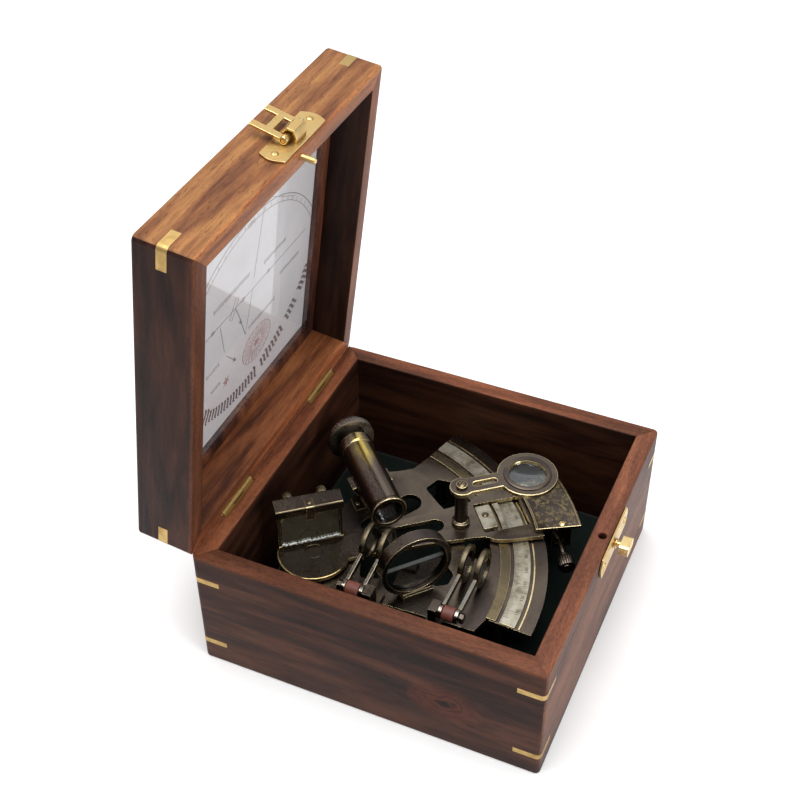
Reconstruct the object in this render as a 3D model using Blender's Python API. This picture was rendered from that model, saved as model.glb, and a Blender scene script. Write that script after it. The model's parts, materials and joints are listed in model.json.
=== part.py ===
"""Small nautical sextant in its hinged hardwood case.

Metres, +Z up.  The origin is the centre of the case's underside.  The lid hinge runs
along X at the back (+Y), the latch is at the front (-Y).  The case stands open and the
sextant lies in it on three legs, with its index arm part way along the arc.
"""

import math

import bmesh
import bpy
from mathutils import Matrix, Vector

MM = 0.001
GAP = 0.3                      # clearance left between pieces that touch

# ---- case ----
CASE_W, CASE_D, BASE_H = 155.0, 158.0, 64.0
LID_H, WALL = 26.0, 8.5
MITRE_GAP = 0.1
BOTTOM_T, FELT_T = 5.0, 1.0
LID_OPEN_DEG = 82.4
HINGE_Y, HINGE_Z = CASE_D / 2, BASE_H + 0.15
HINGE_X = (-38.5, 43.0)        # middle of each hinge
HINGE_LEN, LEAF_T, LEAF_D, KNUCKLE_R, PIN_R = 25.0, 0.8, 8.0, 1.35, 0.6
LEAF_IN = 2.5                  # inner side of a leaf, inwards from the hinge axis
LATCH_X = 7.0                  # middle of the hasp and catch
LATCH_PLATE_W, LATCH_PLATE_H, LATCH_PLATE_T = 34.0, 11.0, 0.8
PIN_X, PIN_Y = 2.7, -CASE_D / 2 + 3.6
CARD_W, CARD_D = 126.0, 129.0  # chart card in the lid

# ---- sextant, seen from above ----
PIVOT = Vector((-32.4, 45.3))  # index arm pivot
ARM_DEG = -51.3                # direction of the index arm
FRAME_Z, FRAME_T = 31.4, 2.6
LIMB_IN, LIMB_OUT = 83.2, 104.4
SCALE_IN, SCALE_OUT = 89.6, 96.8
LIMB_START, LIMB_END = -92.3, -15.3
ARM_Z, ARM_T = 35.3, 2.0
HEAD_R = 16.4
PIVOT_R = 4.0
END_IN, END_OUT, END_HALF_DEG = 100.5, 121.5, 8.6
WINDOW_IN, WINDOW_OUT, WINDOW_W = 77.0, 99.0, 18.4
POST_S, MAGNIFIER_Z, MAGNIFIER_T, MAGNIFIER_L = 68.5, 58.0, 2.2, 30.8
LENS_R, LENS_RIM_R = 8.6, 13.8
MIRROR_W, MIRROR_TOP, MIRROR_OFFSET = 29.5, 60.5, 4.6
SIGHT_Z = 52.5                 # height of the telescope's and horizon mirror's centre
OBJECTIVE = Vector((-10.5, 18.0))
SIGHT_DEG = 44.3               # direction from objective to eyepiece
TUBE_L, TUBE_R = 47.0, 7.7
HORIZON = Vector((-33.5, -4.0))
HORIZON_NORMAL_DEG = 48.0
HORIZON_R, HORIZON_IN_R, HORIZON_T = 16.4, 14.2, 6.0
SHADE_R, SHADE_GLASS_R, SHADE_T = 8.6, 6.5, 1.6
SHADE_Z = 43.0
LEG_R, LEG_TOP = 2.6, FRAME_Z - GAP

SEGMENTS = 32


# ---------------------------------------------------------------- helpers

def clear_scene():
    for thing in list(bpy.data.objects):
        bpy.data.objects.remove(thing, do_unlink=True)


def material(name, colour, roughness, metallic=0.0, alpha=1.0):
    made = bpy.data.materials.new(name)
    made.use_nodes = True
    shader = made.node_tree.nodes["Principled BSDF"]
    shader.inputs["Base Color"].default_value = (*colour, 1.0)
    shader.inputs["Roughness"].default_value = roughness
    shader.inputs["Metallic"].default_value = metallic
    shader.inputs["Alpha"].default_value = alpha
    return made


FINISH = {
    "rosewood": ((0.16, 0.055, 0.032), 0.45, 0.0),
    "felt": ((0.01, 0.03, 0.024), 0.95, 0.0),
    "brass": ((0.72, 0.50, 0.20), 0.28, 1.0),
    "bronze": ((0.16, 0.13, 0.11), 0.38, 1.0),
    "silver": ((0.72, 0.70, 0.62), 0.35, 1.0),
    "steel": ((0.55, 0.55, 0.56), 0.3, 1.0),
    "card": ((0.62, 0.60, 0.62), 0.7, 0.0),
    "glass": ((0.80, 0.84, 0.85), 0.05, 0.0),
    "dark_glass": ((0.05, 0.04, 0.04), 0.05, 0.0),
    "mirror": ((0.75, 0.76, 0.78), 0.03, 1.0),
    "fibre": ((0.30, 0.09, 0.06), 0.6, 0.0),
    "grip_wood": ((0.10, 0.04, 0.025), 0.4, 0.0),
}


def finish(name, mesh, slot, parent=None, place=None):
    """Link a mesh as the node called name, in the finish of its slot."""
    mesh.materials.clear()
    alpha = 0.4 if slot in ("glass", "dark_glass") else 1.0
    mesh.materials.append(material(name + "_" + slot, *FINISH[slot], alpha))
    mesh.shade_smooth()
    mesh.set_sharp_from_angle(angle=math.radians(32))
    node = bpy.data.objects.new(name, mesh)
    bpy.context.scene.collection.objects.link(node)
    if place is not None:
        node.matrix_world = place
    if parent is not None:
        node.parent = parent
    return node


def empty(name, location, parent=None):
    """An empty on a joint's axis; location is in mm, in its parent's frame."""
    made = bpy.data.objects.new(name, None)
    made.empty_display_size = 0.01
    bpy.context.scene.collection.objects.link(made)
    made.location = Vector(location) * MM
    made.parent = parent
    return made


def mesh_from(bm, name):
    bmesh.ops.remove_doubles(bm, verts=bm.verts, dist=1e-7)
    bmesh.ops.recalc_face_normals(bm, faces=bm.faces)
    mesh = bpy.data.meshes.new(name)
    bm.to_mesh(mesh)
    bm.free()
    return mesh


def arc(centre, radius, start, stop, count=None):
    """Points on an arc, angles in degrees."""
    steps = count or max(2, round(abs(stop - start) / 360 * SEGMENTS))
    out = []
    for i in range(steps + 1):
        a = math.radians(start + (stop - start) * i / steps)
        out.append(Vector((centre[0] + radius * math.cos(a), centre[1] + radius * math.sin(a))))
    return out


def circle(centre, radius, count=SEGMENTS):
    return arc(centre, radius, 0, 360, count)[:-1]


def rounded(points, radius, steps=4):
    """The outline with each corner turned into an arc of the given radius."""
    out = []
    count = len(points)
    for i, corner in enumerate(points):
        corner = Vector(corner)
        before = (Vector(points[i - 1]) - corner)
        after = (Vector(points[(i + 1) % count]) - corner)
        half = before.angle(after) / 2
        reach = min(radius / math.tan(half), 0.45 * before.length, 0.45 * after.length)
        size = reach * math.tan(half)
        middle = corner + (before.normalized() + after.normalized()).normalized() * size / math.sin(half)
        a = corner + before.normalized() * reach - middle
        b = corner + after.normalized() * reach - middle
        for k in range(steps + 1):
            out.append(middle + a.lerp(b, k / steps).normalized() * size)
    return out


def sector(centre, inner, outer, start, stop, count=None):
    return arc(centre, outer, start, stop, count) + arc(centre, inner, stop, start, count)


def plate(outline, low, high, holes=()):
    """A flat plate between two heights, in mm, with holes through it."""
    bm = bmesh.new()
    for loop in [outline, *holes]:
        verts = [bm.verts.new((p[0] * MM, p[1] * MM, low * MM)) for p in loop]
        for i, vert in enumerate(verts):
            bm.edges.new((vert, verts[(i + 1) % len(verts)]))
    filled = bmesh.ops.triangle_fill(bm, edges=bm.edges[:], use_beauty=True)
    faces = [f for f in filled["geom"] if isinstance(f, bmesh.types.BMFace)]
    raised = bmesh.ops.extrude_face_region(bm, geom=faces, use_keep_orig=True)
    top = [v for v in raised["geom"] if isinstance(v, bmesh.types.BMVert)]
    bmesh.ops.translate(bm, verts=top, vec=(0, 0, (high - low) * MM))
    return mesh_from(bm, "plate")


def box(low, high):
    bm = bmesh.new()
    bmesh.ops.create_cube(bm, size=1)
    size = Vector(high) - Vector(low)
    middle = (Vector(high) + Vector(low)) / 2
    bmesh.ops.scale(bm, verts=bm.verts, vec=size * MM)
    bmesh.ops.translate(bm, verts=bm.verts, vec=middle * MM)
    return mesh_from(bm, "box")


def lathe(profile, segments=SEGMENTS):
    """Turn a closed outline of (radius, height) points about Z, in mm."""
    bm = bmesh.new()
    rings = []
    for k in range(segments):
        a = 2 * math.pi * k / segments
        turned = []
        for r, z in profile:
            turned.append(bm.verts.new((r * math.cos(a) * MM, r * math.sin(a) * MM, z * MM)))
        rings.append(turned)
    count = len(profile)
    for k in range(segments):
        near, far = rings[k], rings[(k + 1) % segments]
        for i in range(count):
            j = (i + 1) % count
            if profile[i][0] == 0 and profile[j][0] == 0:
                continue
            bm.faces.new((near[i], near[j], far[j], far[i]))
    bmesh.ops.remove_doubles(bm, verts=bm.verts, dist=1e-7)
    bmesh.ops.dissolve_degenerate(bm, edges=bm.edges, dist=1e-8)
    return mesh_from(bm, "turned")


def cylinder(radius, low, high, segments=SEGMENTS):
    return lathe([(0, low), (radius, low), (radius, high), (0, high)], segments)


def tube(outer, inner, low, high, segments=SEGMENTS):
    return lathe([(inner, low), (outer, low), (outer, high), (inner, high)], segments)


def boolean(node, mesh, operation, place=None):
    """Cut or join a mesh into a node; the second shape stays as a hidden guide."""
    guide = bpy.data.objects.new(node.name + "_guide", mesh)
    bpy.context.scene.collection.objects.link(guide)
    if place is not None:
        guide.matrix_world = place
    guide.parent = node.parent
    guide.hide_render = True
    guide.display_type = "WIRE"
    change = node.modifiers.new(operation.lower(), "BOOLEAN")
    change.operation = operation
    change.object = guide
    return guide


def at(x, y, z, direction=None):
    """Placement in mm with local Z along the direction."""
    place = Matrix.Translation(Vector((x, y, z)) * MM)
    if direction is None:
        return place
    return place @ Vector(direction).to_track_quat("Z", "Y").to_matrix().to_4x4()


def turned(x, y, z, degrees):
    """Placement in mm, turned about the vertical."""
    return Matrix.Translation(Vector((x, y, z)) * MM) @ Matrix.Rotation(math.radians(degrees), 4, "Z")


def polar(radius, degrees):
    a = math.radians(degrees)
    return PIVOT + Vector((math.cos(a), math.sin(a))) * radius


def polars(*pairs):
    return [polar(radius, degrees) for radius, degrees in pairs]


def paddle(length, eye_r, disc_r, half_width, hole_r, opening_r, slot=None):
    """Flat arm along +X from an eye at 0 to a round rim at length: outline and holes."""
    at_eye = math.degrees(math.asin(half_width / eye_r))
    at_disc = math.degrees(math.asin(half_width / disc_r))
    outline = arc((0, 0), eye_r, at_eye, 360 - at_eye, 14)
    outline += arc((length, 0), disc_r, -180 + at_disc, 180 - at_disc, 26)
    holes = [circle((0, 0), hole_r, 16), circle((length, 0), opening_r, 28)]
    if slot:
        holes.append(arc((slot[1], 0), slot[2], -90, 90, 5) + arc((slot[0], 0), slot[2], 90, 270, 5))
    return outline, holes


# ---------------------------------------------------------------- case

def mitred_wall(side, low, high):
    """One wall of the case or lid as a prism with mitred ends."""
    w, d, t, g = CASE_W / 2, CASE_D / 2, WALL, MITRE_GAP
    if side in ("front", "back"):
        s = -1 if side == "front" else 1
        outline = [(-w + g, s * d), (w - g, s * d), (w - t - g, s * (d - t)), (-w + t + g, s * (d - t))]
    else:
        s = -1 if side == "left" else 1
        outline = [(s * w, -d + g), (s * w, d - g), (s * (w - t), d - t - g), (s * (w - t), -d + t + g)]
    return plate(outline, low, high)


def hinge_mortise(x, sign):
    """Cutter for the knuckles and the saw kerf of a leaf in the back rim; sign is +1 for the lid."""
    edge = BASE_H if sign < 0 else BASE_H + GAP
    half = HINGE_LEN / 2 + GAP
    deep, kerf = edge + sign * (KNUCKLE_R + 0.5), edge + sign * (LEAF_D + GAP)
    y_out, y_kerf, y_in = CASE_D / 2 + 3, HINGE_Y - LEAF_IN + LEAF_T + GAP, HINGE_Y - LEAF_IN - GAP
    top = edge - sign * 3
    profile = [(y_out, top), (y_out, deep), (y_kerf, deep), (y_kerf, kerf), (y_in, kerf), (y_in, top)]
    return prism_x(profile, x - half, x + half)


def prism_x(profile, low, high):
    """Extrude an outline of (y, z) points along X."""
    bm = bmesh.new()
    near = [bm.verts.new((low * MM, y * MM, z * MM)) for y, z in profile]
    far = [bm.verts.new((high * MM, y * MM, z * MM)) for y, z in profile]
    bm.faces.new(near)
    bm.faces.new(far[::-1])
    for i in range(len(profile)):
        j = (i + 1) % len(profile)
        bm.faces.new((near[i], far[i], far[j], near[j]))
    return mesh_from(bm, "prism")


def build_case():
    w, d = CASE_W / 2 - WALL - GAP, CASE_D / 2 - WALL - GAP
    finish("case_bottom", box((-w, -d, 0), (w, d, BOTTOM_T)), "rosewood")
    felt_low = BOTTOM_T + GAP
    finish("felt_lining", box((-w, -d, felt_low), (w, d, felt_low + FELT_T)), "felt")
    for side in ("front", "back", "left", "right"):
        wall = finish("case_wall_" + side, mitred_wall(side, 0, BASE_H), "rosewood")
        if side == "back":
            for x in HINGE_X:
                boolean(wall, hinge_mortise(x, -1), "DIFFERENCE")
        if side == "front":
            boolean(wall, cylinder(2.0, BASE_H - 9, BASE_H + 2, 16), "DIFFERENCE", at(PIN_X, PIN_Y, 0))
    for x, hand in zip(HINGE_X, ("left", "right")):
        build_lower_leaf(x, hand)
    face = -CASE_D / 2 - GAP
    outline = latch_plate_outline()
    plate_place = Matrix.Translation(Vector((LATCH_X, face, CATCH_Z)) * MM) @ Matrix.Rotation(
        math.radians(90), 4, "X")
    finish("catch_plate", plate(outline, 0, LATCH_PLATE_T, [circle((0, 0), 1.7, 16)]), "brass",
           place=plate_place)
    build_catch(face - LATCH_PLATE_T)


CATCH_Z = BASE_H - 6.5         # middle of the turning catch on the front face


def latch_plate_outline():
    """Brass plate with two bowed ends; its long edge lies near the rim."""
    half_w, top, bottom = LATCH_PLATE_W / 2, BASE_H - 0.8 - CATCH_Z, BASE_H - 0.8 - CATCH_Z - LATCH_PLATE_H
    bow = 2.0
    right = [(half_w + bow * math.sin(math.pi * k / 6), bottom + (top - bottom) * k / 6) for k in range(7)]
    left = [(-x, y) for x, y in reversed(right)]
    return right + left


def build_catch(face):
    """Turning catch: a round shank through its plate with an oblong head."""
    turn = empty("catch_turn", (LATCH_X, face, CATCH_Z))
    shank = cylinder(1.4, -2.6, 3.4, 16)
    catch = finish("catch_stud", shank, "brass", parent=turn, place=at(0, 0, 0, (0, -1, 0)))
    head = plate(rounded([(-4.4, -2.6), (4.4, -2.6), (4.4, 2.6), (-4.4, 2.6)], 1.6), 2.8, 7.0)
    boolean(catch, head, "UNION", Matrix.Rotation(math.radians(90), 4, "X"))
    boolean(bpy.data.objects["case_wall_front"], cylinder(1.8, -3, 6, 16), "DIFFERENCE",
            at(LATCH_X, face, CATCH_Z, (0, 1, 0)))
    return turn


def knuckle(x_low, x_high, outer, inner=None):
    mesh = cylinder(outer, 0, x_high - x_low, 14) if inner is None else tube(outer, inner, 0, x_high - x_low, 14)
    return mesh, at(x_low, 0, 0, (1, 0, 0))


def build_lower_leaf(x, hand):
    """Leaf pressed into a saw kerf in the case wall, with the two outer knuckles and the pin."""
    hinge = empty("hinge_axis_lower_" + hand, (0, HINGE_Y, HINGE_Z))
    half = HINGE_LEN / 2
    top = BASE_H - HINGE_Z - 0.05
    leaf = finish("hinge_leaf_lower_" + hand,
                  box((x - half, -LEAF_IN, top - LEAF_D), (x + half, -LEAF_IN + LEAF_T, top)),
                  "brass", parent=hinge)
    third = HINGE_LEN / 3
    for low, high in ((x - half, x - half + third), (x + half - third, x + half)):
        mesh, place = knuckle(low, high, KNUCKLE_R)
        boolean(leaf, mesh, "UNION", place)
        boolean(leaf, box((low, -LEAF_IN + 0.2, -0.9), (high, 0, top - 0.05)), "UNION")
    mesh, place = knuckle(x - half + 1, x + half - 1, PIN_R)
    boolean(leaf, mesh, "UNION", place)


def build_upper_leaf(x, hand, lid):
    """Leaf pressed into a saw kerf in the lid wall, with the middle knuckle."""
    half, third = HINGE_LEN / 2, HINGE_LEN / 3
    low_z = BASE_H + GAP - HINGE_Z + 0.05
    leaf = finish("hinge_leaf_upper_" + hand,
                  box((x - half, -LEAF_IN, low_z), (x + half, -LEAF_IN + LEAF_T, low_z + LEAF_D)),
                  "brass", parent=lid)
    low, high = x - half + third + 0.15, x + half - third - 0.15
    boolean(leaf, box((low, -LEAF_IN + 0.2, low_z + 0.05), (high, -PIN_R - 0.5, 0.9)), "UNION")
    mesh, place = knuckle(low, high, KNUCKLE_R, PIN_R + 0.15)
    boolean(leaf, mesh, "UNION", place)


# ---------------------------------------------------------------- lid

def build_lid():
    """Lid, made closed and then turned open about its hinge."""
    lid = empty("lid_hinge", (0, HINGE_Y, HINGE_Z))
    closed = Matrix.Translation(Vector((0, -HINGE_Y, -HINGE_Z)) * MM)
    rim, top = BASE_H + GAP, BASE_H + LID_H
    for side in ("front", "back", "left", "right"):
        mesh = mitred_wall(side, rim, top)
        mesh.transform(closed)
        wall = finish("lid_wall_" + side, mesh, "rosewood", parent=lid)
        if side == "back":
            for x in HINGE_X:
                boolean(wall, hinge_mortise(x, 1), "DIFFERENCE", closed)
        if side == "front":
            boolean(wall, cylinder(1.55, rim - 2, rim + 6, 16), "DIFFERENCE", closed @ at(PIN_X, PIN_Y, 0))
    w, d = CASE_W / 2 - WALL - GAP, CASE_D / 2 - WALL - GAP
    panel_low = top - 4.6
    card_low = panel_low - GAP - 0.6
    glass_low = card_low - GAP - 2.0
    pieces = [
        ("lid_top_panel", "rosewood", box((-w, -d, panel_low), (w, d, top - 0.2))),
        ("chart_card", "card", box((-CARD_W / 2, -CARD_D / 2, card_low), (CARD_W / 2, CARD_D / 2, card_low + 0.6))),
        ("lid_glass", "glass", box((-CARD_W / 2, -CARD_D / 2, glass_low), (CARD_W / 2, CARD_D / 2, glass_low + 2.0))),
        ("glass_bead", "rosewood", bead_frame(glass_low - 1.2, panel_low - GAP)),
    ]
    for name, slot, mesh in pieces:
        mesh.transform(closed)
        finish(name, mesh, slot, parent=lid)
    mesh = lathe([(0, rim - 6.5), (0.9, rim - 6.5), (1.25, rim - 5.7), (1.25, rim + 5.5), (0, rim + 5.5)], 14)
    mesh.transform(closed @ at(PIN_X, PIN_Y, 0))
    finish("alignment_pin", mesh, "brass", parent=lid)
    for x, hand in zip(HINGE_X, ("left", "right")):
        build_upper_leaf(x, hand, lid)
    build_hasp(lid, closed, rim)
    lid.rotation_euler.x = -math.radians(LID_OPEN_DEG)
    return lid


def bead_frame(low, high):
    """Wooden bead round the card and glass, mitred into one frame."""
    outer_w, outer_d = CASE_W / 2 - WALL - GAP, CASE_D / 2 - WALL - GAP
    inner_w, inner_d = CARD_W / 2 + GAP, CARD_D / 2 + GAP
    outer = [(-outer_w, -outer_d), (outer_w, -outer_d), (outer_w, outer_d), (-outer_w, outer_d)]
    inner = [(-inner_w, -inner_d), (inner_w, -inner_d), (inner_w, inner_d), (-inner_w, inner_d)]
    return plate(outer, low, high, [inner])


HASP_OUT, HASP_UP = 3.0, 6.4   # hasp pin, out from the lid's front face and up from its rim
HASP_W, HASP_BAR, HASP_TIP, HASP_T, HASP_KNUCKLE_R = 15.2, 2.9, 15.0, 1.2, 1.7
HASP_CROSS = (6.1, 9.2)        # cross bar's inner and outer edge, from the pin
HASP_REST_DEG = 8.0            # how far the hasp leans out from the lid at rest
HOOD = [(0.8, 2.4), (3.2, 2.3), (6.4, 3.8), (6.6, 6.9), (4.6, 9.0), (2.7, 9.2), (1.7, 8.3)]
HOOD_T = 0.9


def strip(path, thickness):
    """Outline of a bent strip of sheet whose outer side follows the path."""
    inner = []
    for i, point in enumerate(path):
        here = Vector(point)
        ahead = (Vector(path[i + 1]) - here) if i + 1 < len(path) else (here - Vector(path[i - 1]))
        behind = (here - Vector(path[i - 1])) if i else ahead
        normal = ahead.normalized() + behind.normalized()
        normal = Vector((normal.y, -normal.x)).normalized()
        scale = 1 / max(0.5, normal.dot(Vector((ahead.y, -ahead.x)).normalized()))
        inner.append(here + normal * thickness * scale)
    return [Vector(point) for point in path] + inner[::-1]


def build_hasp(lid, closed, rim):
    """Hasp plate with a bent hood over its pin, and the swinging H-shaped hasp.

    The hood is narrower than the gap between the hasp's two bars, so the hasp swings
    down past it; its cross bar then lies under the turned catch.
    """
    face = -CASE_D / 2 - GAP
    half_w = LATCH_PLATE_W / 2
    low, high = rim + 0.6, rim + 0.6 + LATCH_PLATE_H
    bow = 2.0
    right = [(half_w + bow * math.sin(math.pi * k / 6), low + (high - low) * k / 6) for k in range(7)]
    outline = right + [(-x, z) for x, z in reversed(right)]
    upright = Matrix.Rotation(math.radians(90), 4, "X")
    mesh = plate(outline, 0, LATCH_PLATE_T)
    mesh.transform(closed @ at(LATCH_X, face, 0) @ upright)
    back = finish("hasp_plate", mesh, "brass", parent=lid)
    w, gap_w = HASP_W / 2, HASP_W / 2 - HASP_BAR
    hood = [(-CASE_D / 2 - out, rim + up) for out, up in strip(HOOD, HOOD_T)]
    boolean(back, prism_x(hood, LATCH_X - gap_w + GAP, LATCH_X + gap_w - GAP), "UNION", closed)
    pin_y, pin_z = -CASE_D / 2 - HASP_OUT, rim + HASP_UP
    boolean(back, cylinder(0.95, -w + 0.1, w - 0.1, 14), "UNION", closed @ at(LATCH_X, pin_y, pin_z, (1, 0, 0)))
    boolean(back, box((LATCH_X - 2.0, pin_y, pin_z - 0.7), (LATCH_X + 2.0, face - 0.4, pin_z + 0.7)),
            "UNION", closed)
    hasp = empty("hasp_pivot", (LATCH_X, pin_y - HINGE_Y, pin_z - HINGE_Z), lid)
    inner, outer = HASP_CROSS
    outline = [(-w, 0.6), (-gap_w, 0.6), (-gap_w, inner), (gap_w, inner), (gap_w, 0.6), (w, 0.6),
               (w, HASP_TIP), (gap_w, HASP_TIP), (gap_w, outer), (-gap_w, outer), (-gap_w, HASP_TIP),
               (-w, HASP_TIP)]
    mesh = plate(outline, -HASP_T / 2, HASP_T / 2)
    mesh.transform(upright)
    node = finish("hasp", mesh, "brass", parent=hasp)
    for s in (-1, 1):
        x0, x1 = sorted((s * w, s * gap_w))
        boolean(node, cylinder(HASP_KNUCKLE_R, x0, x1, 16), "UNION", at(0, 0, 0, (1, 0, 0)))
    boolean(node, cylinder(1.15, -w - 1, w + 1, 14), "DIFFERENCE", at(0, 0, 0, (1, 0, 0)))
    hasp.rotation_euler.x = math.radians(HASP_REST_DEG)
    return hasp


# ---------------------------------------------------------------- sextant frame

def frame_outline():
    """Head, two legs and the limb of the frame as one outline, seen from above."""
    points = arc(PIVOT, HEAD_R - 0.6, 25, 195, 14)
    points += [(PIVOT.x - 14.2, PIVOT.y - 12), (PIVOT.x - 11.4, -36.0), (PIVOT.x - 2.0, -38.6)]
    points += arc(PIVOT, LIMB_IN + 2, LIMB_START, LIMB_START + 0.1, 1)
    points += arc(PIVOT, LIMB_OUT, LIMB_START, LIMB_END, 26)
    points += [polar(LIMB_IN - 6, LIMB_END + 0.2)]
    points += [polar(72.5, -14.6), polar(68.5, -12.2), polar(65.5, -9.6), polar(63.5, -7.2)]
    points += [polar(50, -3.0), polar(26, 10)]
    return points


def frame_holes():
    """Cut-outs of the frame: pivot, slot, curved window and the two large openings."""
    slot_dir = -28.3
    tip, root = polar(54.6, slot_dir), polar(31, slot_dir)
    slot = arc(tip, 5.5, slot_dir - 90, slot_dir + 90, 9) + arc(root, 4.2, slot_dir + 90, slot_dir + 270, 7)
    window = rounded(polars((66.4, -25.6), (75.0, -25.2), (79.6, -30.5), (79.6, -37.5), (79.6, -44.0),
                            (79.6, -50.0), (69.0, -50.0), (66.0, -41.5), (65.2, -35.4)), 1.6, 2)
    centre = rounded(polars((24, -40), (61, -42.5), (62, -50), (62, -56), (62, -63), (60, -67.8),
                            (59.6, -71.7), (63.2, -76.5), (62.0, -82.3), (57.0, -84.5), (46, -83),
                            (37, -88), (24, -98)), 2.2, 3)
    side = rounded(polars((79.6, -54), (79.6, -60), (79.6, -66), (79.4, -69.5), (73.8, -68.8),
                          (69.8, -65.3), (67.3, -60), (68.0, -54)), 1.6, 2)
    return [circle(PIVOT, PIVOT_R + 0.2, 24), slot, window, centre, side]


def build_frame(sextant):
    finish("sextant_frame", plate(frame_outline(), FRAME_Z, FRAME_Z + FRAME_T, frame_holes()),
           "bronze", parent=sextant)
    top = FRAME_Z + FRAME_T + GAP / 2
    finish("arc_scale", plate(sector(PIVOT, SCALE_IN, SCALE_OUT, LIMB_START + 0.2, LIMB_END - 0.2, 24),
                              top, top + 0.5), "silver", parent=sextant)
    felt_top = BOTTOM_T + GAP + FELT_T
    profile = [(0, felt_top + 0.2), (3.4, felt_top + 0.2), (3.6, felt_top + 1.6), (LEG_R, felt_top + 3.4),
               (LEG_R, LEG_TOP), (0, LEG_TOP)]
    spots = (polar(11.5, 130), polar(87, -88), polar(86, -19))
    for i, spot in enumerate(spots, 1):
        finish(f"leg_{i}", lathe(profile, 16), "bronze", parent=sextant, place=at(spot.x, spot.y, 0))
    grip_low, grip_high = felt_top + 1.5, 19.0
    ends = (Vector((-39.0, 22.0)), Vector((-26.0, -24.0)))
    along = (ends[1] - ends[0]).normalized()
    heading = math.degrees(math.atan2(along.y, along.x))
    grip = arc(ends[1], 6.2, heading - 90, heading + 90, 8) + arc(ends[0], 6.2, heading + 90, heading + 270, 8)
    finish("handle_grip", plate(grip, grip_low, grip_high), "grip_wood", parent=sextant)
    bar = arc(ends[1], 4.0, heading - 90, heading + 90, 6) + arc(ends[0], 4.0, heading + 90, heading + 270, 6)
    bracket = finish("handle_bracket", plate(bar, grip_high + GAP, grip_high + GAP + 1.6), "bronze",
                     parent=sextant)
    for end in ends:
        boolean(bracket, cylinder(2.8, grip_high + GAP + 0.4, FRAME_Z - GAP, 16), "UNION", at(end.x, end.y, 0))
    profile = [(0, FRAME_Z - 3.4), (6.5, FRAME_Z - 3.4), (7.0, FRAME_Z - 2.9), (7.0, FRAME_Z - GAP),
               (PIVOT_R, FRAME_Z - GAP), (PIVOT_R, ARM_Z + ARM_T), (0, ARM_Z + ARM_T)]
    finish("pivot_screw", lathe(profile, 24), "bronze", parent=sextant, place=at(PIVOT.x, PIVOT.y, 0))


# ---------------------------------------------------------------- index arm

def arm_outline():
    """Index arm along +X from its round head, with the broad window end."""
    neck = 8.2
    meet = math.degrees(math.asin(neck / HEAD_R))
    side = [(30, 8.2), (55, 9.2), (70, 10.6), (76.5, 11.6), (81, 14.6), (86, 16.0), (102.5, 18.0)]
    upper = arc((0, 0), HEAD_R, meet, 180, 14)
    lower = [Vector((p.x, -p.y)) for p in reversed(upper[:-1])]
    return [Vector((x, y)) for x, y in reversed(side)] + upper + lower + [Vector((x, -y)) for x, y in side]


def build_index_arm(sextant):
    """Index arm and what is fixed to it; made along +X, then turned to its rest angle."""
    arm = empty("index_arm_pivot", (PIVOT.x, PIVOT.y, 0), sextant)
    slot_end, slot_start, slot_r, across = 57.0, 27.0, 3.8, 1.0
    slot = arc((slot_end, across), slot_r, -90, 90, 7) + arc((slot_start, across), slot_r, 90, 270, 7)
    half = WINDOW_W / 2
    window = rounded([(WINDOW_IN, -half), (WINDOW_OUT, -half), (WINDOW_OUT, half), (WINDOW_IN, half)], 0.8, 2)
    finish("index_arm", plate(arm_outline(), ARM_Z, ARM_Z + ARM_T,
                              [circle((0, 0), PIVOT_R + 0.2, 24), slot, window]),
           "bronze", parent=arm)
    arm_top = ARM_Z + ARM_T
    low, high = ARM_Z + 0.2, arm_top + 0.4
    blank = rounded([(WINDOW_IN + GAP, -7.2), (WINDOW_IN + 7.2, -7.2), (WINDOW_IN + 7.2, 7.2),
                     (WINDOW_IN + GAP, 7.2)], 0.5, 2)
    finish("vernier_plate", plate(blank, low, high), "silver", parent=arm)
    end_low = arm_top + GAP
    end = finish("end_plate", plate(sector((0, 0), END_IN, END_OUT, -END_HALF_DEG, END_HALF_DEG, 8),
                                    end_low, end_low + 1.6), "bronze", parent=arm)
    boolean(end, box((107.2, -15.5, 24.4), (116.8, 6.0, end_low + 0.8)), "UNION")
    tangent = tangent_place()
    boolean(end, cylinder(1.75, -6, 12, 14), "DIFFERENCE", tangent)
    boolean(end, cylinder(1.75, -1, 7, 14), "DIFFERENCE", at(CLAMP_S, CLAMP_W, 23.4))
    finish("magnifier_post", lathe([(0, end_low), (4.2, end_low), (4.2, end_low + 1.5), (3.0, end_low + 2.2),
                                    (3.0, MAGNIFIER_Z - 1.9), (3.6, MAGNIFIER_Z - 1.3),
                                    (3.6, MAGNIFIER_Z - GAP), (1.6, MAGNIFIER_Z - GAP),
                                    (1.6, MAGNIFIER_Z + MAGNIFIER_T + GAP), (2.6, MAGNIFIER_Z + MAGNIFIER_T + GAP),
                                    (2.6, MAGNIFIER_Z + MAGNIFIER_T + 1.4), (0, MAGNIFIER_Z + MAGNIFIER_T + 1.4)],
                                   20), "bronze", parent=arm, place=at(POST_S, 0, 0))
    build_index_mirror(arm, end_low)
    build_magnifier(arm)
    build_screws(arm, tangent)
    arm.rotation_euler.z = math.radians(ARM_DEG)
    return arm


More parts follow.
